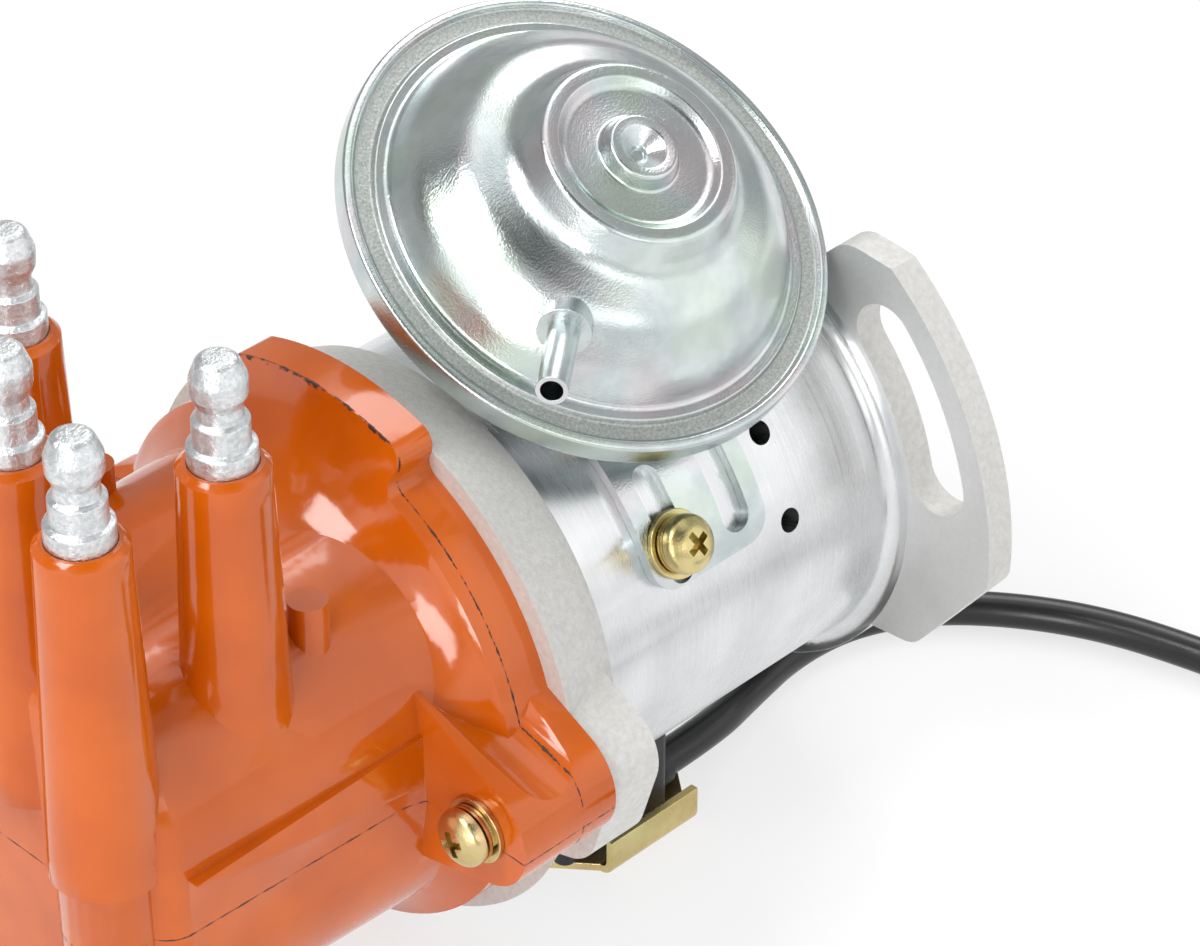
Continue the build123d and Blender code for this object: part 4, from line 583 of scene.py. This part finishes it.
@dataclass(frozen=True)
class ZincPlate:
    """Zinc-plated, passivated steel: bright, a little milky, with fine grain and faint clouds of tint."""

    name: str = "clear_zinc"
    colour: str = "#d5dcdc"
    shade: str = "#bcc6c7"
    tint: str = "#c3d3bf"
    rose: str = "#d6c6ca"
    roughness: float = 0.2
    cloud_mm: float = 7.0
    cloud_depth_mm: float = 0.05
    hue_mm: float = 13.0
    hue_share: float = 0.5
    grain_mm: float = 0.28
    grain_depth_mm: float = 0.04
    groove: Groove | None = None

    def make(self) -> bpy.types.Material:
        """Builds the material."""
        material, tree, shader, place = fresh_material(self.name)
        cloud = noise(tree, place, self.cloud_mm)
        hue = noise(tree, place, self.hue_mm, 1.0)
        base = two_tone(tree, cloud, self.colour, self.shade, 0.35, 0.65)
        green = mixed(tree, spread(tree, hue, 0.52, 0.7, 0, self.hue_share), base, linear(self.tint))
        colour = mixed(tree, spread(tree, hue, 0.46, 0.3, 0, self.hue_share), green, linear(self.rose))
        rough = wavering(tree, cloud, self.roughness, 0.8, 1.3)
        grain = noise(tree, place, self.grain_mm, 3.0, 0.6)
        relief = bumped(tree, grain, self.grain_depth_mm, bumped(tree, cloud, self.cloud_depth_mm))
        if self.groove:
            worn = self.groove.share(tree, place)
            speckle = noise(tree, place, self.groove.speckle_mm, 4.0, 0.7)
            grey = two_tone(tree, speckle, self.groove.dark, self.groove.light, 0.35, 0.65)
            colour = mixed(tree, worn, colour, grey)
            rough = maths(tree, "MAXIMUM", rough, maths(tree, "MULTIPLY", worn, self.groove.roughness))
            pitted = maths(tree, "MULTIPLY", speckle, worn)
            relief = bumped(tree, pitted, self.groove.speckle_depth_mm, relief)
        tree.links.new(colour, shader.inputs["Base Color"])
        tree.links.new(rough, shader.inputs["Roughness"])
        shader.inputs["Metallic"].default_value = 1.0
        tree.links.new(relief, shader.inputs["Normal"])
        return material


@dataclass(frozen=True)
class SoftSolid:
    """Plastic or rubber: an even colour with a fine moulded grain."""

    name: str
    colour: str
    shade: str
    roughness: float
    cloud_mm: float = 8.0
    grain_mm: float = 0.3
    grain_depth_mm: float = 0.012
    ior: float = 1.5

    def make(self) -> bpy.types.Material:
        """Builds the material."""
        material, tree, shader, place = fresh_material(self.name)
        cloud = noise(tree, place, self.cloud_mm)
        tree.links.new(two_tone(tree, cloud, self.colour, self.shade), shader.inputs["Base Color"])
        tree.links.new(wavering(tree, cloud, self.roughness), shader.inputs["Roughness"])
        shader.inputs["IOR"].default_value = self.ior
        grain = noise(tree, place, self.grain_mm)
        tree.links.new(bumped(tree, grain, self.grain_depth_mm), shader.inputs["Normal"])
        return material


class Palette:
    """Makes each finish once and hands it out."""

    def __init__(self) -> None:
        """Builds every finish of the distributor."""
        yellow = ZincPlate("yellow_passivate", "#dcca94", "#c8b47a", "#c3c68e", "#cfa48c", roughness=0.22)
        bronze = PlainMetal("sintered_bronze", "#b58a52", "#9c743f", 0.45, grain_depth_mm=0.02)
        nylon = SoftSolid("black_nylon", "#17171a", "#202023", 0.42, grain_depth_mm=0.02)
        self.materials: dict[Finish, bpy.types.Material] = {
            Finish.HOUSING: HousingMetal().make(),
            Finish.CAP: CapMoulding().make(),
            Finish.TERMINAL: CastTerminal().make(),
            Finish.ZINC: ZincPlate().make(),
            Finish.DOME_ZINC: ZincPlate("dome_zinc", groove=Groove()).make(),
            Finish.YELLOW_ZINC: yellow.make(),
            Finish.STEEL: PlainMetal("ground_steel", "#b9bbbd", "#a5a8aa", 0.28).make(),
            Finish.SPRING: PlainMetal("spring_steel", "#8f9193", "#7c7e80", 0.35).make(),
            Finish.BRONZE: bronze.make(),
            Finish.BRASS: PlainMetal("bare_brass", "#d8b468", "#c7a055", 0.25).make(),
            Finish.RUBBER: SoftSolid("nitrile_rubber", "#151515", "#1d1d1d", 0.5).make(),
            Finish.NYLON: nylon.make(),
            Finish.JACKET: SoftSolid("lead_jacket", "#121214", "#18181a", 0.3, grain_mm=0.5).make(),
            Finish.ROTOR: SoftSolid("rotor_thermoset", "#7a3a1e", "#6a3018", 0.35).make(),
            Finish.CARBON: SoftSolid("pressed_carbon", "#1b1b1c", "#262627", 0.4).make(),
        }

    def __getitem__(self, finish: Finish) -> bpy.types.Material:
        """Returns a finish's material."""
        return self.materials[finish]


# ---- Carried-over CAD nodes --------------------------------------------------------------------------------
@dataclass(frozen=True)
class Dressing:
    """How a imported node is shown: its finish, how much its edges are broken and where it stays sharp."""

    finish: Finish
    edge_mm: float = 0.0
    smooth_deg: float = 32.0


class FrameParts:
    """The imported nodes, shown as merged copies with smooth shading and broken edges."""

    shown: dict[str, Dressing] = {
        "housing": Dressing(Finish.HOUSING, 0.35),
        "distributor_cap": Dressing(Finish.CAP, 0.5),
        "cap_screw_washers": Dressing(Finish.YELLOW_ZINC, 0.15),
        "vacuum_pan": Dressing(Finish.ZINC, 0.0, 40.0),
        "vacuum_nipple": Dressing(Finish.ZINC, 0.1),
        "vacuum_bracket": Dressing(Finish.ZINC, 0.2),
        "bracket_washers": Dressing(Finish.YELLOW_ZINC, 0.15),
        "lead_block": Dressing(Finish.NYLON, 0.4),
        "block_bracket": Dressing(Finish.YELLOW_ZINC, 0.15),
        "block_screws": Dressing(Finish.YELLOW_ZINC, 0.1),
        "lead_plug": Dressing(Finish.NYLON, 0.3),
        "plug_pins": Dressing(Finish.BRASS, 0.1),
        "drive_coupling": Dressing(Finish.STEEL, 0.3),
        "coupling_pin": Dressing(Finish.STEEL, 0.1),
        "coupling_clip": Dressing(Finish.SPRING, 0.1),
        "drive_shaft": Dressing(Finish.STEEL, 0.3),
        "front_bush": Dressing(Finish.BRONZE, 0.2),
        "o_ring": Dressing(Finish.RUBBER),
    }
    hidden: dict[str, Finish] = {
        "cap_electrodes": Finish.STEEL,
        "carbon_brush": Finish.CARBON,
        "brush_spring": Finish.SPRING,
        "thrust_washer": Finish.STEEL,
        "weight_carrier": Finish.STEEL,
        "weight_pivots": Finish.STEEL,
        "weight_a": Finish.STEEL,
        "weight_b": Finish.STEEL,
        "advance_springs": Finish.SPRING,
        "advance_cam_plate": Finish.STEEL,
        "advance_sleeve": Finish.STEEL,
        "trigger_vane": Finish.STEEL,
        "rotor_arm": Finish.ROTOR,
        "rotor_contact": Finish.BRASS,
        "base_plate": Finish.STEEL,
        "base_plate_screws": Finish.ZINC,
        "pickup_plate": Finish.STEEL,
        "pickup_retainer": Finish.ZINC,
        "hall_sensor": Finish.NYLON,
        "sensor_rivets": Finish.ZINC,
        "dust_cover": Finish.NYLON,
        "diaphragm": Finish.RUBBER,
        "diaphragm_plates": Finish.STEEL,
        "vacuum_spring": Finish.SPRING,
        "pull_rod": Finish.STEEL,
    }

    def __init__(self, frame: dict[str, Any], palette: Palette) -> None:
        """Keeps the frame and the finishes."""
        self.nodes = frame["nodes"]
        record = frame["record"]
        self.body_of = {node: body for body, nodes in record["behaviour"]["bodies"].items() for node in nodes}
        self.slot_of = {part["node"]: part["material_slot"] for part in record["subparts"]}
        self.palette = palette

    def dress(self) -> None:
        """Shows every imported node."""
        for name, dressing in self.shown.items():
            self.copy(name, dressing)
        for name, finish in self.hidden.items():
            self.paint(name, finish)

    def paint(self, name: str, finish: Finish) -> None:
        """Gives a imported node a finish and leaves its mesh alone."""
        mesh = self.nodes[name].data
        mesh.materials.clear()
        mesh.materials.append(self.palette[finish])

    def copy(self, name: str, dressing: Dressing) -> None:
        """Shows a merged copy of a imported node, shaded smooth, with its edges broken.

        Args:
            name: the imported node.
            dressing: its finish and edges.
        """
        form = bmesh.new()
        form.from_mesh(self.nodes[name].data)
        bmesh.ops.remove_doubles(form, verts=form.verts, dist=WELD_MM * MM)
        bmesh.ops.dissolve_limit(
            form,
            angle_limit=math.radians(FLAT_DEG),
            verts=form.verts,
            edges=form.edges,
            use_dissolve_boundaries=False,
        )
        mesh = bpy.data.meshes.new(f"{name}_dressed")
        form.to_mesh(mesh)
        form.free()
        self.show(name, mesh, dressing)

    def show(self, name: str, mesh: bpy.types.Mesh, dressing: Dressing) -> None:
        """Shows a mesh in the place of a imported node.

        Args:
            name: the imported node.
            mesh: the mesh that stands for it.
            dressing: its finish and edges.
        """
        piece = bpy.data.objects.new(f"{name}_dressed", mesh)
        bpy.context.scene.collection.objects.link(piece)
        for polygon in mesh.polygons:
            polygon.use_smooth = True
        mesh.set_sharp_from_angle(angle=math.radians(dressing.smooth_deg))
        mesh.materials.append(self.palette[dressing.finish])
        if dressing.edge_mm:
            bevel = piece.modifiers.new("broken_edges", "BEVEL")
            bevel.width = dressing.edge_mm * MM
            bevel.segments = 2
            bevel.limit_method = "ANGLE"
            bevel.angle_limit = math.radians(dressing.smooth_deg)
            bevel.harden_normals = True
            bevel.use_clamp_overlap = True
        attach(piece, self.body_of[name])
        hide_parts(name)
        LOG.info("%s: %d faces", name, len(mesh.polygons))


# ---- Turned pieces -----------------------------------------------------------------------------------------
@dataclass
class TurnedPieces:
    """Terminals, vacuum dome, screws and spring washers, turned smoothly in the place of their nodes."""

    smooth_deg: float = 50.0
    turned_steps: int = 72
    dome_steps: int = 160
    tower_top_mm: float = 55.0
    towers_mm: tuple[tuple[float, float], ...] = (
        (-127.4, -18.7),
        (-127.4, 18.7),
        (-106.4, -18.7),
        (-106.4, 18.7),
        (-122.2, 0.0),
    )
    terminal: tuple[Corner, ...] = (
        (0.0, -2.0, 0.0),
        (4.2, -2.0, 0.0),
        (4.2, 2.4, 0.35),
        (3.45, 2.75, 0.15),
        (3.45, 5.9, 0.35),
        (2.8, 6.35, 0.25),
        (2.72, 8.0, 0.5),
        (3.4, 9.4, 1.2),
        (3.45, 11.6, 1.6),
        (2.55, 13.9, 1.1),
        (1.8, 14.3, 0.6),
        (0.0, 14.35, 0.0),
    )
    rim_mm: float = 42.3  # height of the dome's rim along the can's axis
    dome: tuple[Corner, ...] = (
        (0.0, 15.7, 0.0),
        (0.85, 15.7, 0.15),
        (1.1, 16.3, 0.3),
        (3.1, 17.9, 0.6),
        (4.5, 18.1, 0.6),
        (5.3, 15.95, 0.6),
        (9.7, 15.7, 1.6),
        (10.9, 16.75, 0.6),
        (12.9, 16.75, 1.1),
        (15.0, 12.4, 5.0),
        (20.5, 10.0, 8.0),
        (25.4, 4.8, 10.0),
        (27.3, 0.65, 0.9),
        (28.9, 0.85, 0.4),
        (29.3, 0.05, 0.4),
        (31.3, 0.05, 0.5),
        (31.9, 0.75, 0.5),
        (33.0, 0.6, 0.6),
        (33.0, -3.1, 0.7),
        (30.4, -3.1, 0.3),
        (30.4, -2.2, 0.0),
        (32.1, -2.2, 0.0),
        (32.1, -0.9, 0.0),
        (26.7, -0.9, 0.0),
        (24.0, 4.5, 0.0),
        (18.9, 9.1, 0.0),
        (13.2, 12.3, 0.0),
        (12.3, 14.9, 0.0),
        (0.0, 14.9, 0.0),
    )
    head: tuple[Corner, ...] = (
        (0.0, 2.6, 0.0),
        (2.1, 2.5, 2.5),
        (3.75, 1.3, 1.5),
        (3.9, 0.1, 0.1),
        (3.7, 0.0, 0.0),
        (2.0, 0.0, 0.0),
    )
    cap_shank_mm: float = 24.8
    bracket_shank_mm: float = 5.8
    recess_width_mm: float = 1.1
    recess_reach_mm: float = 2.4
    recess_depth_mm: float = 1.6
    recess_taper: float = 0.5  # length and width that are left at the recess's floor
    recess_narrowing: float = 0.8
    recess_turn_deg: float = 24.0
    coil_inner_mm: float = 2.35
    coil_outer_mm: float = 3.75
    coil_thick_mm: float = 0.42
    coil_pitch_mm: float = 0.52
    coil_turns: float = 1.75
    coil_steps: int = 110
    cap_ear_x_mm: float = -86.25
    cap_screw_side_mm: float = 38.4
    bracket_screw_x_mm: float = -43.4
    bracket_screw_deg: float = 27.5
    bracket_face_mm: float = 33.5
    washer_mm: float = 0.8

    def dress(self, parts: FrameParts) -> None:
        """Turns every piece and shows it in the place of its node.

        Args:
            parts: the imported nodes.
        """
        rods = [
            spin(self.terminal, Matrix.Translation(Vector((x, y, self.tower_top_mm)) * MM), self.turned_steps)
            for x, y in self.towers_mm
        ]
        cast = Dressing(Finish.TERMINAL, smooth_deg=self.smooth_deg)
        parts.show("tower_terminals", joined(rods, "terminals"), cast)
        rim = Vector(CAN_ORIGIN_MM) + Vector(CAN_AXIS) * self.rim_mm
        dome = spin(self.dome, seat(tuple(rim), CAN_AXIS), self.dome_steps)
        plated = Dressing(Finish.DOME_ZINC, smooth_deg=self.smooth_deg)
        parts.show("vacuum_dome", joined([dome], "dome"), plated)
        lift = self.coil_thick_mm + self.coil_pitch_mm * self.coil_turns
        for label, shank, washers in self.stacks():
            heads = [
                self.pan_head(place @ Matrix.Translation((0, 0, lift * MM)), shank + lift, number)
                for number, place in enumerate(washers)
            ]
            parts.show(f"{label}_screws", joined(heads, "heads"), Dressing(Finish.YELLOW_ZINC))
            coils = [self.spring_ring(place) for place in washers]
            node = "cap_screw_spring_washers" if label == "cap" else "bracket_spring_washers"
            parts.show(node, joined(coils, "coils"), Dressing(Finish.YELLOW_ZINC))

    def stacks(self) -> list[tuple[str, float, list[Matrix]]]:
        """Returns each kind of screw with its shank's length and the tops of its flat washers."""
        turn = math.radians(self.bracket_screw_deg)
        out_y, out_z = -math.cos(turn), math.sin(turn)
        reach = self.bracket_face_mm + self.washer_mm
        cap_x = self.cap_ear_x_mm - self.washer_mm
        cap = [seat((cap_x, side * self.cap_screw_side_mm, 0.0), (-1.0, 0.0, 0.0)) for side in (-1, 1)]
        bracket = seat((self.bracket_screw_x_mm, reach * out_y, reach * out_z), (0.0, out_y, out_z))
        return [("cap", self.cap_shank_mm, cap), ("bracket", self.bracket_shank_mm, [bracket])]

    def pan_head(self, place: Matrix, shank_mm: float, number: int) -> bmesh.types.BMesh:
        """Turns a domed head with its shank and cuts the cross recess.

        Args:
            place: the head's seat.
            shank_mm: the shank's length.
            number: which screw of its kind it is, which turns the recess.

        Returns:
            The screw.
        """
        profile = (*self.head, (self.head[-1][0], -shank_mm, 0.0), (0.0, -shank_mm, 0.0))
        screw = spin(profile, Matrix.Identity(4), self.turned_steps)
        top = self.head[0][1]
        for quarter in (0, 1):
            arm = bmesh.new()
            bmesh.ops.create_cube(arm, size=1.0)
            low = [vert for vert in arm.verts if vert.co.z < 0]
            bmesh.ops.scale(arm, vec=(self.recess_taper, self.recess_narrowing, 1.0), verts=low)
            size = Vector((2 * self.recess_reach_mm, self.recess_width_mm, 2 * self.recess_depth_mm)) * MM
            bmesh.ops.scale(arm, vec=size, verts=arm.verts)
            turn = math.radians(self.recess_turn_deg * (1 + 2 * number) + 90 * quarter)
            move = Matrix.Translation((0, 0, top * MM)) @ Matrix.Rotation(turn, 4, "Z")
            bmesh.ops.transform(arm, matrix=move, verts=arm.verts)
            screw = cut(screw, arm)
        bmesh.ops.transform(screw, matrix=place, verts=screw.verts)
        return screw

    def spring_ring(self, place: Matrix) -> bmesh.types.BMesh:
        """Winds a flat spring washer that stands a little open.

        Args:
            place: the top of the flat washer under it.

        Returns:
            The washer.
        """
        form = bmesh.new()
        sections = []
        for step in range(self.coil_steps + 1):
            share = step / self.coil_steps
            turn = math.tau * self.coil_turns * share
            rise = self.coil_pitch_mm * self.coil_turns * share
            spots = [
                (self.coil_inner_mm, rise),
                (self.coil_outer_mm, rise),
                (self.coil_outer_mm, rise + self.coil_thick_mm),
                (self.coil_inner_mm, rise + self.coil_thick_mm),
            ]
            sections.append(
                [form.verts.new(Vector((r * math.cos(turn), r * math.sin(turn), z)) * MM) for r, z in spots]
            )
        for here, after in zip(sections, sections[1:]):
            for side in range(4):
                form.faces.new((here[side], here[side - 3], after[side - 3], after[side]))
        form.faces.new(sections[0])
        form.faces.new(sections[-1])
        bmesh.ops.recalc_face_normals(form, faces=form.faces)
        bmesh.ops.transform(form, matrix=place, verts=form.verts)
        return form


# ---- Signal lead -------------------------------------------------------------------------------------------
@dataclass
class SignalLead:
    """The jacketed lead from the block to its plug, laid on the floor."""

    diameter_mm: float = 5.0
    route_mm: tuple[Triple, ...] = (
        (-30.0, -14.6, -36.6),
        (-19.5, -14.6, -36.6),
        (-9.0, -11.4, -38.2),
        (2.5, -9.2, -38.5),
        (14.0, -10.6, -38.5),
        (24.0, -16.4, -38.5),
        (32.0, -25.6, -38.5),
        (38.2, -36.6, -38.5),
        (42.2, -50.4, -38.5),
        (44.6, -64.0, -38.5),
        (43.4, -77.6, -38.5),
        (37.0, -89.6, -38.5),
        (26.0, -98.4, -38.5),
        (12.4, -103.0, -38.5),
        (-1.6, -104.8, -38.5),
    )
    length_m: float = 0.178

    def lay(self, palette: Palette) -> None:
        """Lays the lead as a smooth curve along its route.

        Args:
            palette: the finishes.
        """
        curve = bpy.data.curves.new("signal_lead_jacket", "CURVE")
        curve.dimensions = "3D"
        spline = curve.splines.new("NURBS")
        spline.points.add(len(self.route_mm) - 1)
        for point, place in zip(spline.points, self.route_mm):
            point.co = (*(part * MM for part in place), 1.0)
        spline.order_u = 3
        spline.use_endpoint_u = True
        spline.resolution_u = 16
        curve.bevel_depth = 0.5 * self.diameter_mm * MM
        curve.bevel_resolution = 8
        curve.use_fill_caps = True
        curve.materials.append(palette[Finish.JACKET])
        lead = bpy.data.objects.new("signal_lead_jacket", curve)
        bpy.context.scene.collection.objects.link(lead)
        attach(lead, Body.HOUSING.value)
        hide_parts("signal_lead")


# ---- Studio ------------------------------------------------------------------------------------------------
@dataclass(frozen=True)
class Lamp:
    """A soft area lamp that looks at a point on the object; metres and watts."""

    name: str
    place: Triple
    target: Triple
    width: float
    height: float
    power: float

    def light(self) -> None:
        """Hangs the lamp."""
        data = bpy.data.lights.new(self.name, "AREA")
        data.shape = "RECTANGLE"
        data.size = self.width
        data.size_y = self.height
        data.energy = self.power
        lamp = bpy.data.objects.new(self.name, data)
        bpy.context.scene.collection.objects.link(lamp)
        away = Vector(self.place) - Vector(self.target)
        lamp.matrix_world = Matrix.Translation(self.place) @ away.to_track_quat("Z", "Y").to_matrix().to_4x4()


@dataclass(frozen=True)
class Card:
    """A round patch of the room's light, in degrees: a soft box where bright, a black card where dark."""

    azimuth: float
    elevation: float
    inner: float
    outer: float
    level: float

    def laid_over(self, tree: Tree, direction: Socket, under: Any) -> Socket:
        """Lays the card over the room's light.

        Args:
            tree: the world's node tree.
            direction: the direction looked at.
            under: the light without the card.

        Returns:
            The light with it.
        """
        turn, rise = math.radians(self.azimuth), math.radians(self.elevation)
        towards = (math.cos(turn) * math.cos(rise), math.sin(turn) * math.cos(rise), math.sin(rise))
        facing = vector_maths(tree, "DOT_PRODUCT", direction, towards, out="Value")
        edge = math.cos(math.radians(self.outer))
        share = spread(tree, facing, edge, math.cos(math.radians(self.inner)), 0.0, 1.0)
        return blended(tree, share, under, self.level)


@dataclass
class Studio:
    """Pale floor, soft light, dark cards for the metal to reflect, and the camera."""

    floor_size: float = 2.5
    floor_colour: str = "#f7f7f8"
    floor_fibre: str = "#fbfbfc"
    floor_fibre_mm: float = 2.0
    floor_roughness: float = 0.7
    floor_specular: float = 0.2
    floor_white_share: float = 0.7  # plain white mixed into the paper where it is looked at or mirrored
    lamps: list[Lamp] = field(
        default_factory=lambda: [
            Lamp("key_softbox", (-0.55, 0.1, 0.75), (-0.04, 0, 0), 0.35, 0.35, 4.2),
            Lamp("fill_softbox", (-0.25, -0.8, 0.35), (-0.04, 0, 0), 0.5, 0.4, 0.9),
            Lamp("back_softbox", (0.55, 0.28, 0.76), (-0.02, 0, 0), 0.4, 0.4, 1.8),
            Lamp("front_softbox", (-0.78, -0.4, 0.2), (-0.09, 0, 0), 0.22, 0.3, 1.8),
        ]
    )
    room_level: float = 0.46
    cards: tuple[Card, ...] = (
        Card(20.0, 78.0, 16.0, 26.0, 1.5),
        Card(190.0, 26.0, 16.0, 26.0, 1.7),
        Card(-55.0, 15.0, 24.0, 40.0, 1.3),
        Card(30.0, 45.0, 10.0, 20.0, 1.9),
        Card(252.0, 66.0, 12.0, 21.0, 0.08),
        Card(-27.0, 50.0, 6.0, 13.0, 0.4),
        Card(140.0, 45.0, 10.0, 25.0, 0.12),
    )
    camera_place: Triple = (-0.3710, -0.3411, 0.3532)
    camera_right: Triple = (0.7038, -0.7104, 0.0)
    camera_up: Triple = (0.4163, 0.4124, 0.8103)
    focal_px: float = 4500.0
    sensor_mm: float = 36.0
    nearest: float = 0.01
    farthest: float = 20.0

    def floor(self) -> None:
        """Lays the floor under the clip and the lead."""
        form = bmesh.new()
        bmesh.ops.create_grid(form, x_segments=1, y_segments=1, size=self.floor_size)
        bmesh.ops.translate(form, verts=form.verts, vec=(0, 0, FLOOR_Z))
        mesh = bpy.data.meshes.new("studio_floor")
        form.to_mesh(mesh)
        form.free()
        floor = bpy.data.objects.new("studio_floor", mesh)
        bpy.context.scene.collection.objects.link(floor)
        material, tree, shader, place = fresh_material("studio_paper")
        fibre = noise(tree, place, self.floor_fibre_mm)
        paper = mixed(tree, fibre, linear(self.floor_colour), linear(self.floor_fibre))
        tree.links.new(paper, shader.inputs["Base Color"])
        shader.inputs["Roughness"].default_value = self.floor_roughness
        shader.inputs["Specular IOR Level"].default_value = self.floor_specular
        ray = add_node(tree, "ShaderNodeLightPath")
        looked_at = maths(tree, "MAXIMUM", ray.outputs["Is Camera Ray"], ray.outputs["Is Glossy Ray"])
        white = add_node(tree, "ShaderNodeEmission", {"Color": (1, 1, 1, 1), "Strength": 1.0})
        share = maths(tree, "MULTIPLY", looked_at, self.floor_white_share)
        both = add_node(tree, "ShaderNodeMixShader", {0: share, 1: shader.outputs[0], 2: white.outputs[0]})
        output = next(made for made in tree.nodes if made.bl_idname == "ShaderNodeOutputMaterial")
        tree.links.new(both.outputs[0], output.inputs["Surface"])
        mesh.materials.append(material)

    def world(self) -> None:
        """Fills the room with soft boxes and dark cards, and shows it white to the camera."""
        world = bpy.data.worlds.new("white_studio")
        bpy.context.scene.world = world
        world.use_nodes = True
        tree = world.node_tree
        tree.nodes.clear()
        ray = add_node(tree, "ShaderNodeLightPath")
        direction = add_node(tree, "ShaderNodeTexCoord").outputs["Generated"]
        level: Any = self.room_level
        for card in self.cards:
            level = card.laid_over(tree, direction, level)
        room = add_node(tree, "ShaderNodeCombineColor", {0: level, 1: level, 2: level})
        room_light = add_node(tree, "ShaderNodeBackground", {"Color": room.outputs[0], "Strength": 1.0})
        seen = add_node(tree, "ShaderNodeBackground", {"Color": (1, 1, 1, 1), "Strength": 1.0})
        looked_at = ray.outputs["Is Camera Ray"]
        shown = {0: looked_at, 1: room_light.outputs[0], 2: seen.outputs[0]}
        both = add_node(tree, "ShaderNodeMixShader", shown)
        add_node(tree, "ShaderNodeOutputWorld", {"Surface": both.outputs[0]})

    def camera(self) -> None:
        """Sets the camera where it sees the cap's left end, the can and the flange."""
        data = bpy.data.cameras.new("camera")
        data.sensor_width = self.sensor_mm
        data.sensor_fit = "HORIZONTAL"
        data.lens = self.focal_px * self.sensor_mm / FRAME_WIDTH_PX
        data.clip_start = self.nearest
        data.clip_end = self.farthest
        camera = bpy.data.objects.new("camera", data)
        bpy.context.scene.collection.objects.link(camera)
        right = Vector(self.camera_right).normalized()
        up = Vector(self.camera_up)
        up = (up - up.dot(right) * right).normalized()
        back = right.cross(up)
        turn = Matrix((right, up, back)).transposed()
        camera.matrix_world = Matrix.Translation(self.camera_place) @ turn.to_4x4()
        bpy.context.scene.camera = camera

    def build(self) -> None:
        """Builds the whole studio."""
        self.floor()
        self.world()
        self.camera()
        for lamp in self.lamps:
            lamp.light()
        bpy.context.scene.view_settings.view_transform = "Standard"


def main() -> None:
    """Builds the dressed distributor in its studio."""
    logging.basicConfig(level=logging.INFO, format="%(message)s")
    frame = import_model()
    palette = Palette()
    parts = FrameParts(frame, palette)
    parts.dress()
    TurnedPieces().dress(parts)
    SignalLead().lay(palette)
    Studio().build()


if __name__ == "__main__":
    main()
